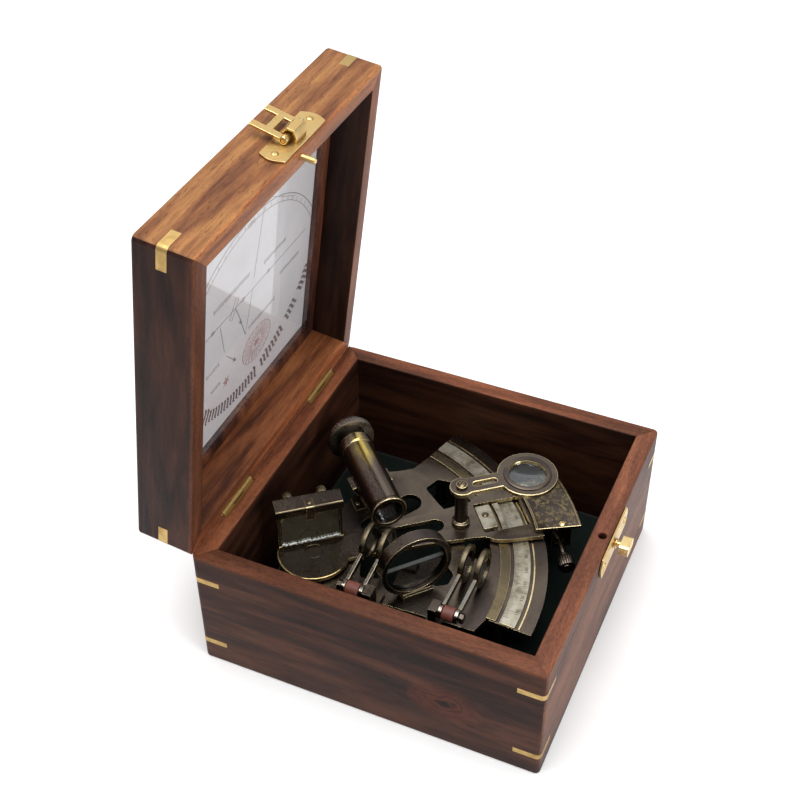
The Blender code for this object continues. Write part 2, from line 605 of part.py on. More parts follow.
def build_index_mirror(arm, low):
    """Mirror standing along the arm over the pivot, in a folded bracket."""
    half = MIRROR_W / 2
    front, back, t = MIRROR_OFFSET, MIRROR_OFFSET + 7.0, 1.5
    foot = low + t
    profile = [(back, low), (back, MIRROR_TOP), (front, MIRROR_TOP), (front, MIRROR_TOP - t),
               (back - t, MIRROR_TOP - t), (back - t, foot), (front, foot), (front, low)]
    bracket = finish("index_mirror_bracket", prism_x(profile, -half, half), "bronze", parent=arm)
    for s in (-1, 1):
        x0, x1 = sorted((s * half, s * (half - 1.4)))
        boolean(bracket, box((x0, front + 0.2, low + 0.4), (x1, back - 0.4, MIRROR_TOP - 0.4)), "UNION")
    inset = 1.4 + GAP
    finish("index_mirror", box((-half + inset, front + 0.4, foot + GAP),
                               (half - inset, front + 2.4, MIRROR_TOP - t - GAP)), "mirror", parent=arm)


def build_magnifier(arm):
    swing = empty("magnifier_pivot", (POST_S, 0, 0), arm)
    outline, holes = paddle(MAGNIFIER_L, 5.6, LENS_RIM_R, 4.6, 1.9, LENS_R, slot=(6.5, 15.0, 1.4))
    finish("magnifier_arm", plate(outline, MAGNIFIER_Z, MAGNIFIER_Z + MAGNIFIER_T, holes), "bronze", parent=swing)
    r, mid = LENS_R - GAP, MAGNIFIER_Z + MAGNIFIER_T / 2
    profile = [(0, mid - 1.5), (r * 0.6, mid - 1.2), (r, mid - 0.5), (r, mid + 0.5), (r * 0.6, mid + 1.2), (0, mid + 1.5)]
    finish("magnifier_lens", lathe(profile, 28), "glass", parent=swing, place=at(MAGNIFIER_L, 0, 0))
    return swing


TANGENT_R, TANGENT_DEG, TANGENT_Z = 112.2, -7.9, 29.0
CLAMP_S, CLAMP_W = 112.0, 1.0


def tangent_place():
    """Placement of the tangent screw, its axis square to the radius through its bearing."""
    a = math.radians(TANGENT_DEG)
    spot = (TANGENT_R * math.cos(a), TANGENT_R * math.sin(a), TANGENT_Z)
    return at(*spot, (math.sin(a), -math.cos(a), 0))


def build_screws(arm, tangent):
    """Tangent screw at the side of the arm's end and clamp screw under it."""
    turn = empty("tangent_axis", (0, 0, 0), arm)
    turn.matrix_local = tangent
    knob = [(0, -4.5), (1.4, -4.5), (1.4, 9.0), (2.6, 9.3), (2.6, 11.0), (3.8, 11.4), (3.8, 16.4), (3.2, 17.0), (0, 17.0)]
    finish("tangent_screw", lathe(knob, 20), "bronze", parent=turn)
    clamp = empty("clamp_axis", (CLAMP_S, CLAMP_W, 0), arm)
    knob = [(0, 15.0), (3.6, 15.0), (4.2, 15.6), (4.2, 19.8), (2.4, 20.6), (1.4, 20.6), (1.4, 29.8), (0, 29.8)]
    finish("clamp_screw", lathe(knob, 20), "bronze", parent=clamp)


# ---------------------------------------------------------------- sights and shades

def build_telescope(sextant):
    heading = (math.cos(math.radians(SIGHT_DEG)), math.sin(math.radians(SIGHT_DEG)), 0)
    place = at(OBJECTIVE.x, OBJECTIVE.y, SIGHT_Z, heading)
    inner = TUBE_R - 1.2
    profile = [(inner, 0), (8.3, 0), (8.5, 1.0), (8.0, 2.2), (TUBE_R, 3.4), (TUBE_R, TUBE_L - 5),
               (8.3, TUBE_L - 4.4), (8.3, TUBE_L), (5.6, TUBE_L), (5.6, TUBE_L - 12), (inner, TUBE_L - 13)]
    finish("telescope_tube", lathe(profile, 28), "bronze", parent=sextant, place=place)
    r = inner - GAP
    lens = [(0, 1.6), (r * 0.6, 1.9), (r, 2.6), (r, 4.6), (0, 4.6)]
    finish("objective_lens", lathe(lens, 24), "glass", parent=sextant, place=place)
    slide = empty("eyepiece_axis", (0, 0, 0), sextant)
    slide.matrix_local = place
    neck = TUBE_L + 3.2
    cup = [(3.6, TUBE_L - 6), (5.2, TUBE_L - 6), (5.2, neck), (8.6, neck + 0.6), (11.2, neck + 1.0),
           (11.3, neck + 4.2), (10.2, neck + 6.2), (7.0, neck + 7.4), (3.6, neck + 7.4)]
    finish("eyepiece", lathe(cup, 28), "bronze", parent=slide)
    finish("eyepiece_lens", cylinder(3.3, neck + 2.0, neck + 4.0, 20), "glass", parent=slide)
    mid = 26.0
    hold = OBJECTIVE + Vector(heading[:2]) * mid
    cradle = sector((0, 0), TUBE_R + GAP, TUBE_R + 2.4, 195, 345, 12)
    bracket = finish("telescope_bracket", plate(cradle, mid - 4, mid + 4), "bronze", parent=sextant, place=place)
    foot = FRAME_Z + FRAME_T + GAP
    stem = box((-3.0, -3.4, foot), (3.0, 3.4, SIGHT_Z - TUBE_R - 1.1))
    turn = turned(hold.x, hold.y, 0, SIGHT_DEG)
    boolean(bracket, stem, "UNION", turn)
    boolean(bracket, box((-4.0, -8.5, foot), (4.0, 8.5, foot + 1.8)), "UNION", turn)


def build_horizon_mirror(sextant):
    a = math.radians(HORIZON_NORMAL_DEG)
    normal = (math.cos(a), math.sin(a), 0)
    place = at(HORIZON.x, HORIZON.y, SIGHT_Z, normal)
    half = HORIZON_T / 2
    ring = finish("horizon_mirror_frame", tube(HORIZON_R, HORIZON_IN_R, -half, half, 36), "bronze",
                  parent=sextant, place=place)
    foot = FRAME_Z + FRAME_T + GAP
    turn = turned(HORIZON.x, HORIZON.y, 0, HORIZON_NORMAL_DEG)
    boolean(ring, box((-half - 1.5, -7.0, foot), (half, 7.0, foot + 3.2)), "UNION", turn)
    boolean(ring, cylinder(HORIZON_IN_R, -half - 3, half + 3, 36), "DIFFERENCE", place)
    r = HORIZON_IN_R - GAP
    mirror = arc((0, 0), r, 180, 360, 16)
    mesh = plate(mirror, -1.0, 1.0)
    upright = turned(HORIZON.x, HORIZON.y, SIGHT_Z, HORIZON_NORMAL_DEG + 90) @ Matrix.Rotation(
        math.radians(90), 4, "X")
    finish("horizon_mirror", mesh, "mirror", parent=sextant, place=upright)


def build_shades(sextant, kind, x, length, tilt, first_y, washer, second_y, ear):
    """Two hinged shades with a fibre washer between them on one pin along Y.

    first_y and second_y are the low faces of the shades, washer and ear their (low, high)
    extents along Y.
    """
    foot = FRAME_Z + FRAME_T + GAP
    low, high = min(ear[0], second_y - 2.2, first_y - 2.2), max(ear[1], first_y + 3.8, second_y + 3.8)
    bracket = finish(kind + "_shade_bracket", box((x - 3.2, ear[0], foot), (x + 3.2, ear[1], SHADE_Z + 2.6)),
                     "bronze", parent=sextant)
    boolean(bracket, box((x - 2.6, ear[0] - 1.5, foot + 0.02), (x + 9.0, ear[1] + 1.5, foot + 1.8)), "UNION")
    boolean(bracket, cylinder(1.3, low, high, 14), "UNION", at(x, 0, SHADE_Z, (0, 1, 0)))
    end = low if ear[0] > second_y else high
    nut_low, nut_high = sorted((end, end + (1.6 if end == low else -1.6)))
    boolean(bracket, cylinder(2.4, nut_low, nut_high, 8), "UNION", at(x, 0, SHADE_Z, (0, 1, 0)))
    upright = Matrix.Rotation(math.radians(90), 4, "X")
    finish(kind + "_shade_washer", tube(3.3, 1.6, washer[0], washer[1], 20), "fibre", parent=sextant,
           place=at(x, 0, SHADE_Z, (0, 1, 0)))
    for i, y in enumerate((first_y, second_y), 1):
        swing = empty(f"{kind}_shade_{i}_axis", (x, y + SHADE_T, SHADE_Z), sextant)
        outline, holes = paddle(length, 3.2, SHADE_R, 1.7, 1.6, SHADE_GLASS_R + GAP)
        mesh = plate(outline, 0, SHADE_T, holes)
        mesh.transform(upright)
        finish(f"{kind}_shade_ring_{i}", mesh, "steel", parent=swing)
        mesh = plate(circle((length, 0), SHADE_GLASS_R, 24), 0.2, SHADE_T - 0.2)
        mesh.transform(upright)
        finish(f"{kind}_shade_glass_{i}", mesh, "dark_glass", parent=swing)
        swing.rotation_euler.y = -math.radians(tilt)


def build_sextant():
    sextant = empty("sextant_lift", (0, 0, 0))
    build_frame(sextant)
    build_index_arm(sextant)
    build_telescope(sextant)
    build_horizon_mirror(sextant)
    build_shades(sextant, "index", -50.0, 25.5, 8.0, 20.6, (14.3, 20.3), 12.4, (8.0, 12.1))
    build_shades(sextant, "horizon", -46.5, 29.0, 1.4, -22.7, (-28.2, -23.0), -30.1, (-20.8, -17.0))


clear_scene()
build_case()
build_lid()
build_sextant()
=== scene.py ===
"""Looks of the boxed pocket sextant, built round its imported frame.

Lengths in the helpers are millimetres, and objects are in metres.  Pieces of the open lid
are made in the closed lid's frame and stand in LID, so their grain follows the boards.
"""
import json
import math
import random

import bmesh
import bpy
from mathutils import Matrix, Vector


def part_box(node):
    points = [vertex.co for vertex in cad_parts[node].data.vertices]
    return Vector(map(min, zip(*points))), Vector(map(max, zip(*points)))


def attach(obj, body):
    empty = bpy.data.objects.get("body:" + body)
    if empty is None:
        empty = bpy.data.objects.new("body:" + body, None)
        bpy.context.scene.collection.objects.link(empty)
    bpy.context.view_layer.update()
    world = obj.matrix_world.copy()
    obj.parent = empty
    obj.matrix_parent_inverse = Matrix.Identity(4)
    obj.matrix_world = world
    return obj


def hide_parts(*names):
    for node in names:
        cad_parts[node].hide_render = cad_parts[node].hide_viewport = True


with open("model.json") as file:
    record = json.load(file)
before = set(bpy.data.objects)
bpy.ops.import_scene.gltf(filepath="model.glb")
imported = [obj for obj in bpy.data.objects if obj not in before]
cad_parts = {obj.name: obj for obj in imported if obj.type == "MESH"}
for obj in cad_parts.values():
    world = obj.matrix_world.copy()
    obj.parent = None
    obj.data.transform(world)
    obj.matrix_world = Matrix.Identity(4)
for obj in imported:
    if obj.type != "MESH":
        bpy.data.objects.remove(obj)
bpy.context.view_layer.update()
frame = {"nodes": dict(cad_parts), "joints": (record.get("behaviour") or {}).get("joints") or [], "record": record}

MM = 0.001
JOINT = {joint["name"]: joint for joint in frame["joints"]}
BODY_OF = {node: body for body, nodes in frame["record"]["behaviour"]["bodies"].items() for node in nodes}


def joint_point(name):
    return Vector(JOINT[name]["pos_m"]) / MM


def about(axis, degrees):
    return Matrix.Rotation(math.radians(degrees), 4, axis)


def link(made):
    bpy.context.scene.collection.objects.link(made)


# ---- measures of the case ----
CASE_W, CASE_D, BASE_H, WALL, LID_TOP = 155.0, 158.0, 64.0, 8.5, 90.0
RIM = BASE_H + 0.3             # the closed lid's rim
CORNER_R = 2.2                 # rounding of the upright corners
HINGE = joint_point("lid_hinge")
LID_DEG = -JOINT["lid_hinge"]["range_deg"][0]
LID = (Matrix.Translation(HINGE * MM) @ Matrix.Rotation(-math.radians(LID_DEG), 4, "X")
       @ Matrix.Translation(-HINGE * MM))

BACK_LIFT = 0.144              # the base's back board rises to meet the lid at the hinge line
TIGHT_R = 0.006                # rounding of the two edges that meet there

# ---- measures of the fittings ----
HINGE_X = (-38.5, 43.0)
PIN_X = 2.7                    # alignment pin and its hole
LATCH_X, CATCH_Z = 7.0, 57.5
SHEET_T = 0.8                  # thickness of the hasp and catch plates
HASP_PIN = (-82.0, 70.7)       # hasp pin in the closed lid's frame
HASP_W, HASP_BAR = 16.0, 3.5
HOOD = [(0.8, 2.4), (3.2, 2.3), (6.4, 3.8), (6.6, 6.9), (4.6, 9.0), (2.7, 9.2), (1.7, 8.3), (2.3, 7.6),
        (3.0, 8.2), (4.2, 8.1), (5.7, 6.5), (5.5, 4.4), (3.1, 3.2), (0.8, 3.3)]

# ---- measures of the sextant ----
ARC_FROM, ARC_TO = -92.0, -15.6
END_TOP = 39.2                 # top of the arm's end plate
PIVOT = joint_point("index_arm_swing")
ARM_DEG = -51.3
ARM = Matrix.Translation(Vector((PIVOT.x, PIVOT.y, 0)) * MM) @ about("Z", ARM_DEG)
SIGHT = JOINT["eyepiece_focus"]["axis"]
MAGNIFIER, LENS_AT = ARM @ Matrix.Translation((0.0685, 0, 0)), 30.8


# ---- materials

class Graph:
    """A Principled material and short calls that add nodes to it."""

    def __init__(self, name, **values):
        self.material = bpy.data.materials.new(name)
        self.material.use_nodes = True
        self.tree = self.material.node_tree
        self.shader = self.tree.nodes["Principled BSDF"]
        for key, value in values.items():
            self.put(key.replace("_", " ").title().replace("Ior", "IOR"), value)

    def put(self, socket, value):
        if isinstance(value, bpy.types.NodeSocket):
            self.tree.links.new(value, self.shader.inputs[socket])
        elif isinstance(value, tuple):
            self.shader.inputs[socket].default_value = (*value, 1.0)
        else:
            self.shader.inputs[socket].default_value = value

    def node(self, kind, inputs=(), **settings):
        made = self.tree.nodes.new(kind)
        for key, value in settings.items():
            setattr(made, key, value)
        for key, value in dict(inputs).items():
            if isinstance(value, bpy.types.NodeSocket):
                self.tree.links.new(value, made.inputs[key])
            else:
                made.inputs[key].default_value = value
        return made

    def place(self, scale=(1, 1, 1), offset=(0, 0, 0)):
        """The object's own coordinates in mm, stretched by scale."""
        coords = self.node("ShaderNodeTexCoord").outputs["Object"]
        return self.node("ShaderNodeMapping", {"Vector": coords, "Scale": Vector(scale) / MM,
                                               "Location": offset}).outputs[0]

    def noise(self, vector, scale, detail=3.0, roughness=0.55, distortion=0.0, colour=False):
        made = self.node("ShaderNodeTexNoise", {"Vector": vector, "Scale": scale, "Detail": detail,
                                                "Roughness": roughness, "Distortion": distortion})
        return made.outputs["Color" if colour else "Fac"]

    def ramp(self, factor, stops):
        made = self.node("ShaderNodeValToRGB", {"Fac": factor})
        band = made.color_ramp
        while len(band.elements) < len(stops):
            band.elements.new(0.5)
        for element, (position, value) in zip(band.elements, stops):
            element.position = position
            element.color = (*value, 1) if isinstance(value, tuple) else (value, value, value, 1)
        return made.outputs["Color"]

    def math(self, operation, a, b=0.0, clamp=False):
        return self.node("ShaderNodeMath", {0: a, 1: b}, operation=operation, use_clamp=clamp).outputs[0]

    def mix(self, factor, a, b, blend="MIX"):
        made = self.node("ShaderNodeMix", data_type="RGBA", blend_type=blend)
        for index, value in ((0, factor), (6, a), (7, b)):
            if isinstance(value, bpy.types.NodeSocket):
                self.tree.links.new(value, made.inputs[index])
            else:
                made.inputs[index].default_value = (*value, 1) if isinstance(value, tuple) else value
        return made.outputs[2]

    def vector(self, operation, a, b):
        return self.node("ShaderNodeVectorMath", {0: a, 1: b}, operation=operation).outputs[0]

    def span(self, value, low, high, to_low, to_high):
        return self.node("ShaderNodeMapRange", {"Value": value, "From Min": low, "From Max": high,
                                                "To Min": to_low, "To Max": to_high}).outputs[0]

    def bump(self, height, distance, strength=1.0):
        made = self.node("ShaderNodeBump", {"Height": height, "Distance": distance * MM,
                                            "Strength": strength})
        self.put("Normal", made.outputs[0])


def wood(name, along, dark, mid, light, seed=0.0, knot=None, rough=0.46, inside=None, rim=None):
    """Oiled rosewood with its grain along axis 0, 1 or 2."""
    g = Graph(name, coat_weight=0.03, coat_roughness=0.3, specular_ior_level=0.13)

    def squeezed(amount, shift=0.0):
        scale = [1.0, 1.0, 1.0]
        scale[along] = amount
        return g.place(scale, (seed + shift, seed * 1.7, seed * 2.3))

    base = squeezed(0.12)
    swirl = g.noise(base, 0.035, 2.0, 0.5, colour=True)
    swirl = g.vector("SUBTRACT", swirl, (0.5, 0.5, 0.5))
    pushed = g.vector("ADD", base, g.vector("MULTIPLY", swirl, (16, 16, 16)))
    if knot:
        centre, reach = knot
        local = g.place((1, 1, 1), -Vector(centre))
        local = g.vector("MULTIPLY", local, tuple(0 if r == 0 else 1 / r for r in reach))
        wobble = g.noise(g.place(), 0.10, 2.0, 0.5, colour=True)
        wobble = g.vector("MULTIPLY", g.vector("SUBTRACT", wobble, (0.5, 0.5, 0.5)), (0.8, 0.8, 0.8))
        local = g.vector("MULTIPLY", g.vector("ADD", local, wobble), tuple(0 if r == 0 else 1 for r in reach))
        distance = g.node("ShaderNodeVectorMath", {0: local}, operation="LENGTH").outputs["Value"]
        near = g.ramp(distance, [(0.0, 1.0), (0.5, 0.5), (1.0, 0.0)])
        pushed = g.vector("ADD", pushed, g.node("ShaderNodeVectorMath", {0: local, "Scale": g.math(
            "MULTIPLY", near, 14.0)}, operation="SCALE").outputs[0])
    streaks = g.noise(pushed, 0.15, 5.0, 0.6)
    patches = g.noise(base, 0.03, 2.0, 0.5)
    tone = g.math("ADD", g.math("MULTIPLY", streaks, 0.62), g.math("MULTIPLY", patches, 0.38))
    colour = g.ramp(tone, [(0.38, dark), (0.49, mid), (0.61, light)])
    fibre = g.noise(squeezed(0.05), 1.5, 3.0, 0.6)
    colour = g.mix(0.42, colour, g.ramp(fibre, [(0.3, 0.5), (0.7, 1.3)]), "MULTIPLY")
    pore = g.ramp(g.noise(squeezed(0.16, 5.0), 2.3, 2.0, 0.5), [(0.60, 0.0), (0.70, 1.0)])
    colour = g.mix(g.math("MULTIPLY", pore, 0.5), colour, tuple(c * 0.4 for c in dark))
    if knot:
        warm = g.ramp(distance, [(0.0, 0.75), (0.55, 0.5), (1.0, 0.0)])
        colour = g.mix(warm, colour, (light[0] * 1.15, light[1] * 0.72, light[2] * 0.55))
        lines = g.math("SINE", g.math("ADD", g.math("MULTIPLY", distance, 27.0),
                                      g.math("MULTIPLY", streaks, 9.0)))
        lines = g.math("MULTIPLY", g.ramp(lines, [(0.1, 0.0), (0.9, 0.8)]),
                       g.ramp(distance, [(0.15, 1.0), (0.75, 0.0)]))
        colour = g.mix(lines, colour, tuple(c * 0.7 for c in dark))
        colour = g.mix(g.ramp(distance, [(0.08, 0.95), (0.26, 0.0)]), colour, tuple(c * 0.4 for c in dark))
    # Painted highlight: the wood is made paler towards the rim, standing in for the light on the rims.
    if rim:
        height = g.node("ShaderNodeSeparateXYZ", {0: g.place()}).outputs[2]
        painted_rim_light = g.span(height, rim[0], rim[1], 0.0, 0.62)
        rim_light_colour = g.mix(0.4, g.mix(1.0, colour, (2.1, 1.8, 1.65), "MULTIPLY"), (0.20, 0.075, 0.033))
        grain = g.noise(squeezed(0.3, 9.0), 1.6, 3.0, 0.7)
        rim_light_colour = g.mix(0.6, rim_light_colour, g.ramp(grain, [(0.34, 0.35), (0.62, 1.25)]), "MULTIPLY")
        colour = g.mix(painted_rim_light, colour, rim_light_colour)
    # Painted shade: the inner faces of the walls are darkened to about a quarter, standing in for the shade inside
    # the case.
    if inside:
        axis, limit = inside
        across = g.node("ShaderNodeSeparateXYZ", {0: g.place()}).outputs[axis]
        painted_inner_shade = g.span(g.math("ABSOLUTE", across), limit - 0.15, limit + 0.15, 0.24, 1.0)
        colour = g.mix(1.0, colour, g.node("ShaderNodeCombineColor",
                                           {0: painted_inner_shade, 1: painted_inner_shade, 2: painted_inner_shade}).outputs[0],
                       "MULTIPLY")
    g.put("Base Color", colour)
    g.put("Roughness", g.span(fibre, 0.3, 0.7, rough - 0.05, rough + 0.12))
    g.bump(g.math("SUBTRACT", g.math("MULTIPLY", fibre, 0.35), pore), 0.05)
    return g.material


def metal(name, clean, tarnish, spots, rough=0.3, spread=0.5, scratch=0.03, scale=0.16, fleck=0.4):
    """Metal with soft tarnish in patches, darker spots and fine scratches."""
    g = Graph(name, metallic=1.0)
    base = g.place()
    cloud = g.ramp(g.noise(base, scale, 4.0, 0.6, 0.6), [(0.42, 0.0), (0.62, 1.0)])
    colour = g.mix(g.math("MULTIPLY", cloud, spread), clean, tarnish)
    speck = g.ramp(g.noise(base, scale * 7, 3.0, 0.6), [(0.60, 0.0), (0.72, 1.0)])
    colour = g.mix(g.math("MULTIPLY", speck, fleck), colour, spots)
    g.put("Base Color", colour)
    scuff = g.noise(g.place((1.0, 0.16, 0.5)), 3.0, 3.0, 0.65)
    g.put("Roughness", g.math("ADD", g.span(cloud, 0, 1, rough - 0.06, rough + 0.1),
                              g.span(scuff, 0.3, 0.7, -0.04, 0.08)))
    g.bump(scuff, scratch)
    return g.material


def plain(name, colour, rough, vary=0.12, scale=1.0, depth=0.02, **values):
    """A dull surface with slight mottling and a fine bump."""
    g = Graph(name, **values)
    cloud = g.noise(g.place(), scale, 4.0, 0.6)
    low, high = (tuple(c * k for c in colour) for k in (1 - vary, 1 + vary))
    g.put("Base Color", g.ramp(cloud, [(0.3, low), (0.7, high)]))
    g.put("Roughness", g.span(cloud, 0.3, 0.7, rough - 0.04, rough + 0.06))
    g.bump(g.noise(g.place(), scale * 5, 2.0, 0.5), depth)
    return g.material


def tube_material():
    """Telescope bronze, rubbed to yellow brass on top near the eyepiece."""
    g = Graph("bronze_tube", metallic=1.0)
    base = g.place()
    cloud = g.ramp(g.noise(base, 0.05, 2.0, 0.5), [(0.38, 0.0), (0.64, 1.0)])
    colour = g.mix(cloud, (0.215, 0.172, 0.125), (0.125, 0.092, 0.092))
    local = g.vector("MULTIPLY", g.place((1, 1, 1), (0, -7.0, -36.0)), (0.21, 0.16, 0.085))
    reach = g.node("ShaderNodeVectorMath", {0: local}, operation="LENGTH").outputs["Value"]
    reach = g.math("ADD", reach, g.span(g.noise(g.place((1, 1, 0.3)), 0.35, 3.0), 0.3, 0.7, -0.35, 0.35))
    colour = g.mix(g.ramp(reach, [(0.25, 1.0), (1.0, 0.0)]), colour, (0.56, 0.42, 0.12))
    g.put("Base Color", colour)
    scuff = g.noise(g.place((1.0, 1.0, 0.1)), 2.0, 3.0, 0.6)
    g.put("Roughness", g.math("ADD", g.span(cloud, 0, 1, 0.24, 0.3), g.span(scuff, 0.3, 0.7, -0.01, 0.02)))
    g.bump(scuff, 0.003)
    return g.material


def clear_glass(name, tint=(0.95, 0.97, 0.97), least=0.01, share=0.12):
    """Thin clear glass: it only shows where it reflects."""
    g = Graph(name, metallic=1.0, base_color=tint)
    fresnel = g.node("ShaderNodeFresnel", {"IOR": 1.45}).outputs[0]
    g.put("Alpha", g.math("ADD", g.math("MULTIPLY", fresnel, share), least, True))
    g.put("Roughness", g.span(g.noise(g.place(), 0.08, 2.0), 0.3, 0.7, 0.02, 0.06))
    return g.material


def dark_glass(name, tint):
    g = Graph(name, coat_weight=1.0, coat_roughness=0.03, alpha=0.82)
    g.put("Base Color", g.mix(g.noise(g.place(), 0.3, 2.0), tint, tuple(c * 1.5 for c in tint)))
    g.put("Roughness", g.span(g.noise(g.place(), 2.0, 3.0), 0.3, 0.7, 0.04, 0.14))
    return g.material


def felt_material():
    g = Graph("felt", sheen_weight=0.06, sheen_roughness=0.6, specular_ior_level=0.05)
    fuzz = g.noise(g.place(), 3.2, 4.0, 0.75)
    strand = g.noise(g.place((1.0, 0.35, 1.0)), 6.0, 2.0, 0.6)
    g.put("Base Color", g.ramp(g.math("MULTIPLY", g.math("ADD", fuzz, strand), 0.5),
                               [(0.34, (0.0006, 0.0026, 0.0018)), (0.64, (0.0035, 0.0105, 0.0070))]))
    g.put("Roughness", g.span(fuzz, 0.3, 0.7, 0.9, 1.0))
    g.bump(fuzz, 0.35)
    return g.material


def card_material():
    g = Graph("card", specular_ior_level=0.3)
    age = g.noise(g.place(), 0.03, 4.0, 0.6)
    fleck = g.noise(g.place(), 2.4, 3.0, 0.6)
    paper = g.ramp(age, [(0.3, (0.52, 0.50, 0.515)), (0.7, (0.60, 0.585, 0.605))])
    g.put("Base Color", g.mix(0.12, paper, g.ramp(fleck, [(0.3, 0.6), (0.7, 1.0)]), "MULTIPLY"))
    g.put("Roughness", g.span(fleck, 0.3, 0.7, 0.5, 0.65))
    g.bump(fleck, 0.02)
    return g.material


def mirror_material(name, tone):
    g = Graph(name, metallic=1.0)
    haze = g.noise(g.place(), 0.22, 4.0, 0.6)
    g.put("Base Color", g.ramp(haze, [(0.35, tuple(c * 0.8 for c in tone)), (0.65, tone)]))
    g.put("Roughness", g.span(haze, 0.4, 0.75, 0.03, 0.16))
    return g.material


def scale_material(name):
    """Silvered band, brushed round the arc, with yellowed patches."""
    g = Graph(name, metallic=0.85)
    cloud = g.noise(g.place(), 0.14, 4.0, 0.6, 0.4)
    fine = g.noise(g.place((1.0, 0.3, 1.0)), 2.2, 3.0, 0.6)
    colour = g.ramp(cloud, [(0.34, (0.20, 0.175, 0.125)), (0.5, (0.36, 0.33, 0.255)),
                            (0.66, (0.48, 0.45, 0.37))])
    g.put("Base Color", g.mix(0.3, colour, g.ramp(fine, [(0.3, 0.55), (0.7, 1.0)]), "MULTIPLY"))
    g.put("Roughness", g.span(fine, 0.3, 0.7, 0.3, 0.5))
    g.bump(fine, 0.02)
    return g.material


DARK, MID, LIGHT = (0.020, 0.0075, 0.0055), (0.075, 0.027, 0.017), (0.150, 0.060, 0.032)
RED = (DARK, (0.085, 0.027, 0.014), (0.185, 0.066, 0.030))
# Painted shade: a darker copy of the wood for the left walls of case and lid, standing in for the shade on that
# side.
SHADED_SIDE_WOOD = ((0.010, 0.0033, 0.0024), (0.034, 0.0105, 0.0062), (0.078, 0.027, 0.014))
RIMS, LID_RIMS = (BASE_H - 1.6, BASE_H - 0.4), (RIM + 1.6, RIM + 0.4)
IN_X, IN_Y = CASE_W / 2 - WALL + 0.3, CASE_D / 2 - WALL + 0.3
WOOD = {
    "case_left": wood("rosewood_case_left", 1, *SHADED_SIDE_WOOD, 3.0, knot=((-77.5, -36.0, 25.0), (0, 19.0, 12.0)),
                      inside=(0, IN_X), rim=RIMS),
    "case_right": wood("rosewood_case_right", 1, *RED, 41.0, inside=(0, IN_X), rim=RIMS),
    "case_front": wood("rosewood_case_front", 0, DARK, MID, LIGHT, 77.0, inside=(1, IN_Y), rim=RIMS),
    "case_back": wood("rosewood_case_back", 0, *RED, 113.0, inside=(1, IN_Y), rim=RIMS),
    "case_floor": wood("rosewood_case_floor", 0, DARK, MID, LIGHT, 19.0),
    "lid_left": wood("rosewood_lid_left", 1, *SHADED_SIDE_WOOD, 9.0, inside=(0, IN_X), rim=LID_RIMS),
    "lid_right": wood("rosewood_lid_right", 1, DARK, MID, LIGHT, 51.0, inside=(0, IN_X), rim=LID_RIMS),
    # Painted light: the lid's front board, which faces up while the lid is open, takes a brighter copy of the
    # wood.
    "lid_front": wood("rosewood_lid_front", 0, (0.055, 0.018, 0.010), (0.185, 0.072, 0.028),
                      (0.32, 0.152, 0.052), 87.0, inside=(1, IN_Y), rim=LID_RIMS),
    "lid_back": wood("rosewood_lid_back", 0, (0.055, 0.017, 0.008), (0.175, 0.056, 0.021),
                     (0.30, 0.112, 0.040), 131.0,
                     rim=LID_RIMS),
    "lid_top": wood("rosewood_lid_top", 0, DARK, MID, LIGHT, 29.0),
    "bead": wood("rosewood_bead", 1, *RED, 61.0),
    "grip": wood("grip_wood", 1, (0.03, 0.012, 0.008), (0.09, 0.035, 0.02), (0.16, 0.07, 0.04), 7.0,
                 rough=0.3),
}
BRASS = metal("brass_polished", (0.66, 0.46, 0.19), (0.46, 0.30, 0.11), (0.25, 0.16, 0.06), 0.30, 0.6,
              scratch=0.006, scale=0.1)
KEY_BRASS = metal("brass_keys", (0.50, 0.34, 0.13), (0.34, 0.215, 0.08), (0.25, 0.15, 0.06), 0.42, 0.7,
                  scratch=0.01)
BRIGHT = metal("brass_bright_edge", (0.88, 0.67, 0.32), (0.66, 0.48, 0.20), (0.4, 0.28, 0.1), 0.24, 0.4,
               scratch=0.004, scale=0.1)
BRONZE = metal("bronze_blackened", (0.130, 0.104, 0.080), (0.063, 0.050, 0.048), (0.035, 0.028, 0.024),
               0.27, 0.85,
               scratch=0.004, scale=0.045, fleck=0.15)
OLIVE = metal("bronze_olive", (0.20, 0.158, 0.092), (0.095, 0.076, 0.052), (0.040, 0.034, 0.026), 0.25, 0.85,
              scratch=0.004, scale=0.06, fleck=0.2)
CUP = metal("bronze_cup", (0.30, 0.265, 0.215), (0.17, 0.145, 0.125), (0.06, 0.05, 0.045), 0.26, 0.8,
            scratch=0.003, scale=0.06, fleck=0.2)
EDGE = metal("brass_worn_edge", (0.86, 0.71, 0.40), (0.45, 0.35, 0.19), (0.12, 0.09, 0.06), 0.26, 0.6,
             scratch=0.003, scale=0.12)
STEEL = metal("plated_steel", (0.27, 0.255, 0.235), (0.10, 0.095, 0.095), (0.06, 0.055, 0.05), 0.18, 0.8,
              scratch=0.005, scale=0.12)
STEEL_EDGE = metal("plated_edge", (0.60, 0.49, 0.30), (0.26, 0.21, 0.14), (0.1, 0.09, 0.08), 0.2, 0.6,
                   scratch=0.003, scale=0.12)
SCROLL = metal("engraved_brass", (0.50, 0.39, 0.18), (0.20, 0.15, 0.08), (0.06, 0.05, 0.04), 0.35, 0.8,
               scale=0.1)
FOOT_BEAD_WHITE = plain("mirror_foot_beads", (0.75, 0.77, 0.76), 0.25, 0.2, 2.0, 0.01)
SILVER = scale_material("silvered_scale")
FIBRE = plain("red_fibre", (0.125, 0.032, 0.020), 0.55, 0.3, 0.9, 0.04)
TUBE = tube_material()
